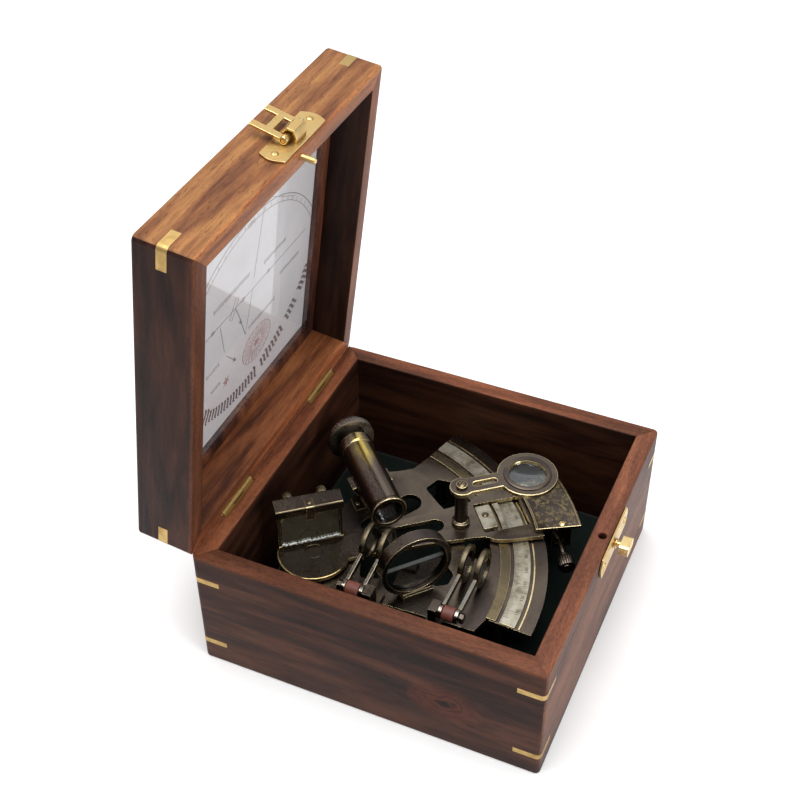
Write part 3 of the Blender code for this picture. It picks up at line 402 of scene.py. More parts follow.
# Painted shade: near black for the horizon mirror glass's edge faces, so its upward top edge doesn't show the lamp
# above.
BLACK = plain("mirror_edge_shade", (0.05, 0.055, 0.05), 0.5, 0.3, 1.0, 0.01)
INK = plain("ink_black", (0.02, 0.017, 0.015), 0.6, 0.2, 2.0, 0.01)
CHART_INK = plain("ink_grey", (0.20, 0.17, 0.17), 0.6, 0.3, 0.4, 0.01)
CHART_RED = plain("ink_russet", (0.33, 0.19, 0.18), 0.6, 0.3, 0.4, 0.01)
CHART_DARK = plain("ink_umber", (0.13, 0.10, 0.10), 0.6, 0.35, 0.3, 0.01)
GLASS = clear_glass("clear_glass")
LENS = clear_glass("lens_glass", (0.62, 0.68, 0.68), 0.02, 0.2)
SHADE = dark_glass("smoked_glass", (0.012, 0.010, 0.010))
MIRROR = mirror_material("silvered_mirror", (0.38, 0.39, 0.40))
MIRROR_DARK = mirror_material("dim_mirror", (0.34, 0.35, 0.28))
CARD = card_material()
FELT = felt_material()
FLOOR = plain("studio_floor", (0.86, 0.86, 0.86), 0.8, 0.015, 0.01, 0.0)


# ---- mesh helpers

def mesh_from(bm, name="mesh"):
    bmesh.ops.remove_doubles(bm, verts=bm.verts, dist=1e-7)
    bmesh.ops.recalc_face_normals(bm, faces=bm.faces)
    mesh = bpy.data.meshes.new(name)
    bm.to_mesh(mesh)
    bm.free()
    return mesh


def arc(centre, radius, start, stop, count):
    return [Vector(polar(radius, start + (stop - start) * i / count, centre)) for i in range(count + 1)]


def polar(radius, degrees, centre=(0, 0)):
    a = math.radians(degrees)
    return centre[0] + radius * math.cos(a), centre[1] + radius * math.sin(a)


def circle(centre, radius, count=48):
    return arc(centre, radius, 0, 360, count)[:-1]


def plate(outline, low, high, holes=()):
    bm = bmesh.new()
    for loop in [outline, *holes]:
        verts = [bm.verts.new((p[0] * MM, p[1] * MM, low * MM)) for p in loop]
        for i, vert in enumerate(verts):
            bm.edges.new((vert, verts[(i + 1) % len(verts)]))
    filled = bmesh.ops.triangle_fill(bm, edges=bm.edges[:], use_beauty=True)
    faces = [f for f in filled["geom"] if isinstance(f, bmesh.types.BMFace)]
    raised = bmesh.ops.extrude_face_region(bm, geom=faces, use_keep_orig=True)
    top = [v for v in raised["geom"] if isinstance(v, bmesh.types.BMVert)]
    bmesh.ops.translate(bm, verts=top, vec=(0, 0, (high - low) * MM))
    return mesh_from(bm)


def box(low, high):
    bm = bmesh.new()
    bmesh.ops.create_cube(bm, size=1)
    bmesh.ops.scale(bm, verts=bm.verts, vec=(Vector(high) - Vector(low)) * MM)
    bmesh.ops.translate(bm, verts=bm.verts, vec=(Vector(high) + Vector(low)) / 2 * MM)
    return mesh_from(bm)


def lathe(profile, segments=48, ribs=0.0, ribbed=()):
    """Turn (radius, height) points about Z; points listed in ribbed swell on every other step."""
    bm = bmesh.new()
    rings = []
    for k in range(segments):
        a = 2 * math.pi * k / segments
        ring = []
        for i, (r, z) in enumerate(profile):
            r += ribs * (k % 2) if i in ribbed else 0
            ring.append(bm.verts.new((r * math.cos(a) * MM, r * math.sin(a) * MM, z * MM)))
        rings.append(ring)
    for k in range(segments):
        near, far = rings[k], rings[(k + 1) % segments]
        for i in range(len(profile)):
            j = (i + 1) % len(profile)
            if profile[i][0] == 0 and profile[j][0] == 0:
                continue
            bm.faces.new((near[i], near[j], far[j], far[i]))
    bmesh.ops.remove_doubles(bm, verts=bm.verts, dist=1e-7)
    bmesh.ops.dissolve_degenerate(bm, edges=bm.edges, dist=1e-8)
    return mesh_from(bm)


def prism_x(profile, low, high):
    """Outline of (y, z) points drawn out along X."""
    bm = bmesh.new()
    near, far = ([bm.verts.new((x * MM, y * MM, z * MM)) for y, z in profile] for x in (low, high))
    bm.faces.new(near)
    bm.faces.new(far[::-1])
    for i in range(len(profile)):
        j = (i + 1) % len(profile)
        bm.faces.new((near[i], far[i], far[j], near[j]))
    return mesh_from(bm)


def ring(outer, inner, low, high, segments=48, round_off=0.25):
    """A turned ring with its outer edges rounded off."""
    c = round_off
    return lathe([(inner, low), (outer - c, low), (outer - c * 0.3, low + c * 0.3), (outer, low + c),
                  (outer, high - c),
                  (outer - c * 0.3, high - c * 0.3), (outer - c, high), (inner, high)], segments)


def knurled(radius, low, high, ribs=24, depth=0.25, bore=0.0):
    """A grip turned with straight knurls."""
    c = 0.35
    return lathe([(bore, low), (radius - c, low), (radius, low + c), (radius, high - c), (radius - c, high),
                  (bore, high)], ribs * 2, -depth, (2, 3))


def words(text, size, thick=0.04):
    """Figures as a thin raised mesh, centred on the origin and standing along +Y."""
    curve = bpy.data.curves.new("figures", "FONT")
    curve.body, curve.size, curve.extrude = text, size * MM, thick / 2 * MM
    curve.align_x, curve.align_y, curve.resolution_u = "CENTER", "CENTER", 2
    holder = bpy.data.objects.new("figures", curve)
    link(holder)
    bpy.context.view_layer.update()
    mesh = bpy.data.meshes.new_from_object(holder.evaluated_get(bpy.context.evaluated_depsgraph_get()))
    bpy.data.objects.remove(holder)
    bpy.data.curves.remove(curve)
    return mesh


def ribbon(points, width, low, high):
    """A flat line of the given width through points in the XY plane."""
    left, right = [], []
    for i, p in enumerate(points):
        before = Vector(points[max(0, i - 1)])
        after = Vector(points[min(len(points) - 1, i + 1)])
        side = (after - before).normalized()
        side = Vector((-side.y, side.x)) * width / 2
        left.append(Vector(p) + side)
        right.append(Vector(p) - side)
    bm = bmesh.new()
    corners = [[bm.verts.new((q.x * MM, q.y * MM, z * MM)) for q in (a, b) for z in (low, high)]
               for a, b in zip(left, right)]
    for a, b in zip(corners, corners[1:]):
        for i, j in ((0, 1), (1, 3), (3, 2), (2, 0)):
            bm.faces.new((a[i], a[j], b[j], b[i]))
    for c in (corners[0], corners[-1]):
        bm.faces.new((c[0], c[1], c[3], c[2]))
    return mesh_from(bm)


def joined(meshes):
    bm = bmesh.new()
    for mesh in meshes:
        bm.from_mesh(mesh)
    made = bpy.data.meshes.new("joined")
    bm.to_mesh(made)
    bm.free()
    return made


def at(x, y, z, direction=None):
    place = Matrix.Translation(Vector((x, y, z)) * MM)
    if direction is None:
        return place
    return place @ Vector(direction).to_track_quat("Z", "Y").to_matrix().to_4x4()


def moved(mesh, matrix):
    mesh.transform(matrix)
    return mesh


def piece(name, mesh, materials, body, place=None, bevel=0.0, segments=2, replaces=(), sharp=34,
          limit=30):
    """Link a mesh as a finished piece that rides on a body."""
    kinds = [face.material_index for face in mesh.polygons]
    mesh.materials.clear()
    for material in materials:
        mesh.materials.append(material)
    mesh.polygons.foreach_set("material_index", kinds)
    mesh.shade_smooth()
    mesh.set_sharp_from_angle(angle=math.radians(sharp))
    made = bpy.data.objects.new(name, mesh)
    link(made)
    if place is not None:
        made.matrix_world = place
    if bevel:
        change = made.modifiers.new("bevel", "BEVEL")
        change.width = bevel * MM
        change.segments = segments
        change.limit_method = "ANGLE"
        change.angle_limit = math.radians(limit)
        change.harden_normals = True
        change.use_clamp_overlap = True
        if len(materials) > 1:
            change.material = 1
    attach(made, body)
    if replaces:
        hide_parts(*replaces)
    return made


def refined(node, materials, bevel=0.2, segments=2, place=None, limit=30, second=None):
    """Stand a bevelled copy of a CAD node in for it, with the second material, when given, on its edges: rubbed
    brass on most metal parts, and near-black painted shade on the horizon mirror's glass.

    Faces that don't look along second take the second material as well.
    """
    mesh = frame["nodes"][node].data.copy()
    if "custom_normal" in mesh.attributes:
        mesh.attributes.remove(mesh.attributes["custom_normal"])
    bm = bmesh.new()
    bm.from_mesh(mesh)
    if place is not None:
        bmesh.ops.transform(bm, matrix=place.inverted(), verts=bm.verts)
    bmesh.ops.remove_doubles(bm, verts=bm.verts, dist=2e-6)
    bmesh.ops.dissolve_limit(bm, angle_limit=math.radians(0.7), verts=bm.verts, edges=bm.edges)
    bm.normal_update()
    for face in bm.faces:
        face.material_index = 1 if second and abs(face.normal.normalized().dot(Vector(second))) < 0.7 else 0
    bmesh.ops.recalc_face_normals(bm, faces=bm.faces)
    bm.to_mesh(mesh)
    bm.free()
    return piece(node + "_finished", mesh, materials, BODY_OF[node], place, bevel, segments,
                 (node,), limit=limit)


def cut(target, mesh, place=None, operation="DIFFERENCE"):
    """Boolean on a piece, applied at once so no cutter stays in the scene."""
    tool = bpy.data.objects.new("tool", mesh)
    link(tool)
    if place is not None:
        tool.matrix_world = place
    change = target.modifiers.new("cut", "BOOLEAN")
    change.operation = operation
    change.solver = "EXACT"
    change.object = tool
    while target.modifiers[0] != change:
        bpy.context.view_layer.objects.active = target
        target.modifiers.move(len(target.modifiers) - 1, 0)
    bpy.context.view_layer.update()
    keep = [m for m in target.modifiers if m != change]
    shown = [m.show_viewport for m in keep]
    for m in keep:
        m.show_viewport = False
    graph = bpy.context.evaluated_depsgraph_get()
    baked = bpy.data.meshes.new_from_object(target.evaluated_get(graph))
    for m, s in zip(keep, shown):
        m.show_viewport = s
    target.modifiers.remove(change)
    target.data = baked
    bpy.data.objects.remove(tool)
    return target


def screw(name, place, radius, body, material, turn=0.0):
    """A domed, slotted screw head."""
    r = radius
    mesh = lathe([(0, -0.1), (r, -0.1), (r, 0.12), (r * 0.9, 0.3), (r * 0.6, 0.48), (0, 0.58)], 32)
    made = piece(name, mesh, [material], body,
                 place @ about("Z", turn))
    cut(made, box((-r * 1.2, -r * 0.16, 0.22), (r * 1.2, r * 0.16, 2)), made.matrix_world)
    made.data.shade_smooth()
    made.data.set_sharp_from_angle(angle=math.radians(34))
    return made


# ---- wooden boards

def board(name, side, low, high, material, place=None, replaces=(), rim_r=1.0, foot_r=0.6):
    """A mitred wall with rounded rims, and with the case's upright corners rounded."""
    half = (CASE_D if side in ("left", "right") else CASE_W) / 2
    out_r = {"rim": rim_r, "foot": foot_r}
    corners = [(0, low, out_r["foot"], 180), (0, high, out_r["rim"], 90),
               (WALL, high, 0.6, 0), (WALL, low, 0.3, -90)]
    profile = []
    for t, z, r, start in corners:
        cx = t + (r if t == 0 else -r)
        cz = z + (r if z == low else -r)
        for k in range(5):
            a = math.radians({180: 270, 90: 180, 0: 90, -90: 0}[start] - 90 * k / 4)
            profile.append((cx + r * math.cos(a), cz + r * math.sin(a)))
    stations = []
    for k in range(7):
        theta = math.radians(45 * (1 - k / 6))
        stations.append((CORNER_R * (1 - math.sin(theta)), CORNER_R * (1 - math.cos(theta))))
    rings = []
    gap = 0.04
    for sign in (-1, 1):
        for s_out, t_out in (stations if sign < 0 else stations[::-1]):
            ring = []
            for t0, z in profile:
                t = t_out + t0 * (1 - t_out / WALL)
                u = half - gap - (s_out + (t - t_out))
                ring.append((sign * u, t, z))
            rings.append(ring)
    w, d = CASE_W / 2, CASE_D / 2
    spot = {"left": lambda u, t, z: (-w + t, u, z), "right": lambda u, t, z: (w - t, u, z),
            "front": lambda u, t, z: (u, -d + t, z), "back": lambda u, t, z: (u, d - t, z)}[side]
    bm = bmesh.new()
    grid = [[bm.verts.new(Vector(spot(*p)) * MM) for p in ring] for ring in rings]
    for a, b in zip(grid, grid[1:]):
        for i in range(len(profile)):
            j = (i + 1) % len(profile)
            bm.faces.new((a[i], a[j], b[j], b[i]))
    bm.faces.new(grid[0])
    bm.faces.new(grid[-1])
    body = "case" if name.startswith("case") else "lid"
    return piece(name, mesh_from(bm), [material], body, place, replaces=replaces, sharp=40)


def keys(prefix, heights, thick, reach, body, place=None):
    """Brass keys let into the upright corners at the given heights."""
    for cx, cy, tag in ((-1, -1, "fl"), (1, -1, "fr"), (-1, 1, "bl"), (1, 1, "br")):
        for n, z in enumerate(heights, 1):
            proud = 0.07
            r = CORNER_R
            corner = [(r - (r + proud) * math.sin(math.radians(a)),
                       r - (r + proud) * math.cos(math.radians(a)))
                      for a in range(0, 91, 15)]
            outline = [(reach, -proud)] + corner + [(-proud, reach)]
            outline = [Vector((cx * (CASE_W / 2 - s), cy * (CASE_D / 2 - t))) for s, t in outline]
            mesh = plate(outline, z - thick / 2, z + thick / 2)
            piece(f"{prefix}_key_{tag}_{n}", mesh, [KEY_BRASS], body, place, bevel=0.05, segments=1)


def build_case():
    half = 12.8
    for side in ("left", "right", "front", "back"):
        back = side == "back"
        wall = board("case_board_" + side, side, 0, BASE_H + (BACK_LIFT if back else 0), WOOD["case_" + side],
                     replaces=("case_wall_" + side,), rim_r=TIGHT_R if back else 1.0)
        lid_wall = board("lid_board_" + side, side, RIM - 0.15, LID_TOP, WOOD["lid_" + side], LID,
                         ("lid_wall_" + side,), rim_r=1.4, foot_r=TIGHT_R if back else 0.9)
        if back:
            for x in HINGE_X:
                for target, edge, sign, place in ((wall, BASE_H, -1, None), (lid_wall, RIM, 1, LID)):
                    deep, kerf, top = edge + sign * 1.85, edge + sign * 8.3, edge - sign * 3
                    slot = [(82.0, top), (82.0, deep), (77.6, deep), (77.6, kerf), (76.2, kerf), (76.2, top)]
                    cut(target, prism_x(slot, x - half, x + half), place)
        if side == "front":
            for radius, low, place in ((2.0, BASE_H - 9, at(PIN_X, -CASE_D / 2 + 3.6, 0)),
                                       (1.8, -3, at(LATCH_X, -CASE_D / 2, CATCH_Z, (0, 1, 0)))):
                high = BASE_H + 2 if low > 0 else 4
                cut(wall, lathe([(0, low), (radius, low), (radius, high), (0, high)], 24), place)
    refined("case_bottom", [WOOD["case_floor"]], 0.3)
    refined("lid_top_panel", [WOOD["lid_top"]], 0.3, place=LID)
    refined("glass_bead", [WOOD["bead"]], 0.35, place=LID)
    keys("case", (11.5, 50.5), 2.7, 12.0, "case")
    keys("lid", (77.5,), 4.4, 10.5, "lid", LID)
    for node in ("hinge_leaf_lower_left", "hinge_leaf_lower_right", "hinge_leaf_upper_left",
                 "hinge_leaf_upper_right"):
        refined(node, [KEY_BRASS], 0.08, 1)


def build_latch():
    """Hasp plate with its hood and pin, the swinging hasp, and the turning catch."""
    upright = about("X", 90)
    bow = [(17 + 2.0 * math.sin(math.pi * k / 10), 11.0 * k / 10) for k in range(11)]
    sheet = bow + [(-x, y) for x, y in reversed(bow)]
    face = -CASE_D / 2 - 0.3
    plate_place = LID @ at(LATCH_X, face, RIM + 0.6) @ upright
    hood = [(-CASE_D / 2 - out, RIM + up) for out, up in HOOD]
    gap_w, w = HASP_W / 2 - HASP_BAR, HASP_W / 2
    piece("hasp_plate_sheet", plate(sheet, 0, SHEET_T), [BRASS, BRIGHT], "lid", plate_place, 0.22, 3,
          ("hasp_plate",))
    folded = prism_x(hood, LATCH_X - gap_w + 0.3, LATCH_X + gap_w - 0.3)
    piece("hasp_hood", folded, [BRASS, BRIGHT], "lid", LID, 0.18, 3)
    pin = moved(ring(0.95, 0, -w + 0.1, w - 0.1, 24), at(LATCH_X, *HASP_PIN, (1, 0, 0)))
    lug = box((LATCH_X - 2.0, HASP_PIN[0], HASP_PIN[1] - 0.7), (LATCH_X + 2.0, face - 0.4, HASP_PIN[1] + 0.7))
    piece("hasp_pin", joined([pin, lug]), [BRASS], "lid", LID)
    inner, outer = 6.1, 9.2
    outline = [(-w, 1.3), (-gap_w, 1.3), (-gap_w, inner), (gap_w, inner), (gap_w, 1.3), (w, 1.3), (w, 15.0),
               (gap_w, 15.0), (gap_w, outer), (-gap_w, outer), (-gap_w, 15.0), (-w, 15.0)]
    swing = LID @ at(LATCH_X, *HASP_PIN) @ about("X", 8)
    bars = moved(plate(outline, -0.6, 0.6), upright)
    piece("hasp_bars", bars, [BRASS, BRIGHT], "hasp", swing, 0.25, 3, ("hasp",))
    eyes = [moved(ring(1.7, 1.15, *sorted((s * w, s * gap_w)), 32), at(0, 0, 0, (1, 0, 0))) for s in (-1, 1)]
    piece("hasp_eyes", joined(eyes), [BRIGHT], "hasp", swing)
    for i, x in enumerate((-14.6, 14.6)):
        screw(f"hasp_screw_{i + 1}", plate_place @ at(x, 5.5, SHEET_T), 1.5, "lid", BRASS, 25 + 50 * i)
    catch_place = at(LATCH_X, face, BASE_H - 0.8 - 11.0) @ upright
    piece("catch_plate_sheet", plate(sheet, 0, SHEET_T, [circle((0, CATCH_Z - BASE_H + 11.8), 1.7, 24)]),
          [BRASS, BRIGHT], "case", catch_place, 0.22, 3, ("catch_plate",))
    for i, x in enumerate((-14.6, 14.6)):
        screw(f"catch_screw_{i + 1}", catch_place @ at(x, 5.5, SHEET_T), 1.5, "case", BRASS, 70 - 50 * i)
    turn = at(LATCH_X, face - 0.8, CATCH_Z) @ upright
    shank = ring(1.4, 0, -2.6, 3.4, 24)
    collar = ring(2.4, 0, 0.3, 1.2, 32, 0.3)
    piece("catch_shank", joined([shank, collar]), [BRASS], "catch", turn, replaces=("catch_stud",))
    corner = [(4.4, 2.6), (-4.4, 2.6), (-4.4, -2.6), (4.4, -2.6)]
    head = []
    for i, (x, y) in enumerate(corner):
        head += arc((x - math.copysign(1.6, x), y - math.copysign(1.6, y)), 1.6, 90 * i, 90 * i + 90, 6)
    knob = piece("catch_head", plate(head, 2.8, 7.0), [BRIGHT, BRIGHT], "catch", turn)
    for x in (-1.7, 0, 1.7):
        cut(knob, box((x - 0.25, -4, 6.6), (x + 0.25, 4, 8)), turn)
    soft = knob.modifiers.new("bevel", "BEVEL")
    soft.width, soft.segments, soft.limit_method, soft.harden_normals = 0.9 * MM, 4, "ANGLE", True
    refined("alignment_pin", [BRASS, BRIGHT], 0.3, 3)


def build_felt():
    low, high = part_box("felt_lining")
    bm = bmesh.new()
    n = 70
    rng = random.Random(4)
    size = high - low
    for_top = {}
    for i in range(n + 1):
        for j in range(n + 1):
            x, y = low.x + size.x * i / n, low.y + size.y * j / n
            edge = i in (0, n) or j in (0, n)
            z = high.z - 0.00005 - (0.0 if edge else rng.random() * 0.00018)
            for_top[i, j] = bm.verts.new((x, y, z))
    for i in range(n):
        for j in range(n):
            bm.faces.new((for_top[i, j], for_top[i + 1, j], for_top[i + 1, j + 1], for_top[i, j + 1]))
    made = piece("felt_sheet", mesh_from(bm), [FELT], "case", replaces=("felt_lining",))
    thick = made.modifiers.new("thick", "SOLIDIFY")
    thick.thickness = 0.0009
    thick.offset = -1


# ---- chart card

def squiggle(x, y, length, height, seed):
    """A short wavy line standing in for a label."""
    rng = random.Random(seed)
    points, count = [], int(length * 1.6)
    for i in range(count + 1):
        u = length * i / count
        v = (height / 2 if i % 2 else -height / 2) * (0.6 + 0.6 * rng.random())
        points.append((x + u, y + v))
    return points


def arrow(x, y, angle, size=2.2):
    a = math.radians(angle)
    corners = [(size, 0), (-size * 0.5, size * 0.55), (-size * 0.5, -size * 0.55)]
    c, s = math.cos(a), math.sin(a)
    return [(x + p * c - q * s, y + p * s + q * c) for p, q in corners]


def star(x, y, size, points=6):
    out = []
    for k in range(points * 2):
        a, r = math.pi * k / points + 0.3, size if k % 2 == 0 else size * 0.4
        out.append((x + r * math.cos(a), y + r * math.sin(a)))
    return out


def build_card():
    """Card with a line drawing of the instrument's light path; lettering is left as plain strokes."""
    refined("chart_card", [CARD], 0.0, place=LID)
    refined("lid_glass", [GLASS], 0.0, place=LID)
    low, high = 84.44, 84.49
    lines = [
        ([(-60, 2.6), (58, 2.6)], 0.35), ([(15, -38), (8.5, -3)], 0.3), ([(-20, 4), (-15.6, 21)], 0.4),
        ([(-7, 3), (-2, 13), (3, 25)], 0.45), ([(3, 25), (8, 2.6)], 0.3),
        ([(-13.5, 25), (-6, 33), (-4.5, 33.5)], 0.4),
        ([(-12, 6), (-7, -3), (-4.5, -1.5), (-9.5, 7.5), (-12, 6)], 0.35), ([(-31, -44), (-52, 40)], 0.3),
        ([(5 + 3, -45), (44, -24)], 0.25), ([(-50, -46), (5, -58), (52, -40)], 0.3),
    ]
    for radius, width in ((69.5, 0.45), (66.3, 0.3)):
        lines.append((arc((5, 32), radius, 205, 335, 60), width))
    for k in range(27):
        lines.append(([polar(r, 207 + 4.8 * k, (5, 32)) for r in (66.3, 68.4)], 0.25))
    labels = [(-26, -8, 30, 2.6), (17.5, -5, 20, 2.4), (6, 23.5, 24, 2.0), (-31, 24.5, 11, 2.2),
              (-26.5, 36.5, 8, 2.0),
              (1, -34.5, 6, 2.6), (-58, -20, 14, 2.2), (-57, 12, 16, 2.2), (34, 12, 18, 2.2)]
    for i, (x, y, length, height) in enumerate(labels):
        lines.append((squiggle(x, y, length, height, i), 0.5))
    made = [ribbon(points, width, low, high) for points, width in lines]
    for x, y, angle in ((-26, 2.6, 0), (0, 2.6, 0), (22.5, 2.6, 0), (-2, 14, 62), (-6.2, 32.7, 45),
                        (-41, -2, 104)):
        made.append(plate(arrow(x, y, angle), low, high))
    piece("chart_lines", joined(made), [CHART_INK], "lid", LID)
    rose = [ribbon(arc((0, 0), 13, 0, 360, 48), 0.4, low, high),
            ribbon(arc((0, 0), 5, 0, 360, 32), 0.4, low, high)]
    for k in range(20):
        a = 18 * k
        petal = [(5.4 + 7.2 * t, 1.0 * math.sin(math.pi * t)) for t in (0, 0.25, 0.5, 0.75, 1)]
        petal += [(5.4 + 7.2 * t, -1.0 * math.sin(math.pi * t)) for t in (0.75, 0.5, 0.25)]
        rose.append(moved(ribbon(petal + [petal[0]], 0.32, low, high), about("Z", a)))
    rose.append(plate(star(0, 0, 4.2, 8), low, high))
    spot = at(14.5, 38.0, 0) @ Matrix.Diagonal((1, 0.72, 1, 1))
    suns = [moved(joined(rose), spot), plate(star(-13.2, 40.0, 3.2), low, high)]
    piece("chart_rose", joined(suns), [CHART_RED], "lid", LID)
    band, rng = [], random.Random(9)
    a = 151.0
    while a > 22.0:
        tall = rng.choice((6.0, 6.0, 6.0, 8.0))
        base = at(*polar(75, a, (5, -18)), 0) @ about("Z", a + 90)
        h = tall / 2
        stem = [(-0.75, -h), (0.75, -h + 0.8), (0.75, h - 1.0), (1.6, h - 0.2), (0.4, h + 0.6),
                (-0.75, h - 0.8),
                (-0.75, -h + 1.0), (-1.6, -h + 0.2)]
        band.append(moved(plate(stem, low, high), base))
        if rng.random() < 0.5:
            band.append(moved(ribbon([(0, h - 0.4), (1.5, h + 0.5)], 0.5, low, high), base))
        a -= 2.15 if rng.random() < 0.8 else 5.0
    piece("chart_band", joined(band), [CHART_DARK], "lid", LID)


# ---- sextant

def sector(inner, outer, start, stop, count=24):
    return arc((0, 0), outer, start, stop, count) + arc((0, 0), inner, stop, start, count)


def build_scale():
    """Degree marks and figures on the silvered arc; half a degree of arc reads as one."""
    place = at(PIVOT.x, PIVOT.y, 0)
    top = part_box("arc_scale")[1].z / MM
    marks = []
    for n in range(-5, 136):
        a = -22.0 - 0.5 * n
        length = 3.0 if n % 10 == 0 else 2.3 if n % 5 == 0 else 1.5
        line = ribbon([(90.0, 0), (90.0 + length, 0)], 0.13 if n % 5 else 0.18, top, top + 0.03)
        marks.append(moved(line, about("Z", a)))
        if n % 10 == 0:
            text = moved(words(str(n), 2.3), about("Z", a) @ at(95.0, 0, top + 0.02)
                         @ about("Z", 90))
            marks.append(text)
    marks.append(ribbon(arc((0, 0), 90.0, ARC_FROM, ARC_TO, 80), 0.12, top, top + 0.03))
    piece("scale_marks", joined(marks), [INK], "sextant", place)
    step = plate(sector(83.4, 88.0, ARC_FROM, ARC_TO, 60), 34.15, 34.75)
    piece("limb_step", step, [OLIVE, EDGE], "sextant", place, 0.2, 3)
    rim = plate(sector(98.2, 98.8, ARC_FROM, ARC_TO, 60), 34.0, 34.12)
    piece("limb_line", rim, [EDGE], "sextant", place)


def build_arm_details():
    strip = plate(sector(86.4, 89.2, -5.6, 5.6, 12), 35.7, 36.3)
    piece("vernier_strip", strip, [SILVER, EDGE], "index_arm", ARM, 0.1, 2)
    marks = []
    for n in range(-12, 13):
        length = 1.5 if n % 6 == 0 else 0.9
        line = ribbon([(89.1 - length, 0), (89.1, 0)], 0.12, 36.3, 36.33)
        marks.append(moved(line, about("Z", 0.42 * n)))
    for n, a in ((0, 0.0), (3, 2.52), (6, 5.04), (3, -2.52), (6, -5.04)):
        marks.append(moved(words(str(n), 1.2), about("Z", a) @ at(87.1, 0, 36.32)
                           @ about("Z", 90)))
    piece("vernier_marks", joined(marks), [INK], "index_arm", ARM)
    screw("vernier_screw", ARM @ at(80.6, 1.2, 37.7), 1.6, "index_arm", OLIVE, 30)
    heading = math.radians(44.3)
    for i, v in enumerate((-6.4, 6.4), 1):
        x, y = -10.5 + 26 * math.cos(heading), 18.0 + 26 * math.sin(heading)
        spot = at(x - v * math.sin(heading), y + v * math.cos(heading), 36.1)
        screw(f"telescope_screw_{i}", spot, 1.3, "sextant", OLIVE, 35 * i)
    screw("end_plate_screw", ARM @ at(112.2, -14.6, END_TOP), 1.7, "index_arm", BRIGHT, 10)
    screw("post_screw", ARM @ at(68.5, 0, 61.55), 2.0, "magnifier", OLIVE, 40)
    lens_ring = moved(ring(10.9, 8.7, 60.15, 60.75, 64, 0.3), at(LENS_AT, 0, 0))
    piece("magnifier_lens_ring", lens_ring, [BRONZE], "magnifier", MAGNIFIER)
    rng = random.Random(21)
    curls = []
    for i in range(210):
        r, a = rng.uniform(102.3, 119.6), rng.uniform(-7.9, 7.9)
        x, y = polar(r, a)
        if math.hypot(x - 112.2, y + 14.6) < 3.0:
            continue
        size, spin, start = rng.uniform(0.4, 1.05), rng.choice((-1, 1)), rng.uniform(0, 6.3)
        points = []
        for k in range(13):
            t = k / 12
            q = size * (1 - 0.85 * t)
            turn = start + spin * 6.6 * t
            points.append((x + q * math.cos(turn), y + q * math.sin(turn)))
        curls.append(ribbon(points, 0.15, END_TOP, 39.23))
    curls.append(ribbon(arc((0, 0), 101.4, -8.2, 8.2, 20), 0.3, END_TOP, 39.24))
    curls.append(ribbon(arc((0, 0), 120.7, -8.3, 8.3, 20), 0.3, END_TOP, 39.24))
    piece("end_plate_scrolls", joined(curls), [SCROLL], "index_arm", ARM)


def build_index_mirror():
    """The index mirror's clip, tongue, thumb screws and the white beads at its foot, and the rubbed rim of the
    arm's head.
    """
    piece("head_rim", plate(sector(15.75, 16.5, 55, 305, 60), 35.35, 37.36), [BRIGHT], "index_arm",
          ARM, 0.3, 3)
    half, front, back, top = 14.75, 4.6, 11.6, 60.5
    clip = [(front - 1.1, top - 3.2), (front - 0.3, top - 3.2), (front - 0.3, top + 0.05),
            (back + 0.2, top + 0.05),
            (back + 0.2, top + 1.2), (front - 0.6, top + 1.2), (front - 1.1, top + 0.8)]
    piece("mirror_clip", prism_x(clip, -half - 0.5, half + 0.5), [BRONZE, OLIVE], "index_arm", ARM,
          0.25, 3)
    tongue = [(front - 1.7, top - 6.0), (front - 1.15, top - 6.0), (front - 1.15, top + 1.25),
              (back - 3, top + 1.25),
              (back - 3, top + 1.75), (front - 1.3, top + 1.75), (front - 1.7, top + 1.4)]
    piece("mirror_tongue", prism_x(tongue, -1.7, 2.1), [BRONZE, EDGE], "index_arm", ARM, 0.15, 2)
    screw("mirror_tongue_screw", ARM @ at(0.2, front + 1.4, top + 1.8), 1.4, "index_arm", OLIVE, 60)
    for i, x in enumerate((-8.2, 7.4), 1):
        grip = joined([knurled(2.3, 0.8, 4.4, 16, 0.3), ring(1.2, 0, 0, 5.2, 20)])
        piece(f"mirror_thumb_screw_{i}", grip, [OLIVE], "index_arm",
              ARM @ at(x, back, 59.6, (0, 1, 0)))
    # A row of small white beads along the foot of the index mirror.
    beads, rng = [], random.Random(5)
    for i in range(62):
        x = -13.0 + 26.0 * i / 61
        size = rng.uniform(0.22, 0.62)
        bm = bmesh.new()
        bmesh.ops.create_icosphere(bm, subdivisions=1, radius=size * MM)
        mesh = bpy.data.meshes.new("bead")
        bm.to_mesh(mesh)
        bm.free()
        beads.append(moved(mesh, at(x + rng.uniform(-0.2, 0.2), front - 0.05, 39.6 + rng.uniform(0, 0.9))))
    piece("mirror_foot_beads", joined(beads), [FOOT_BEAD_WHITE], "index_arm", ARM, sharp=5)


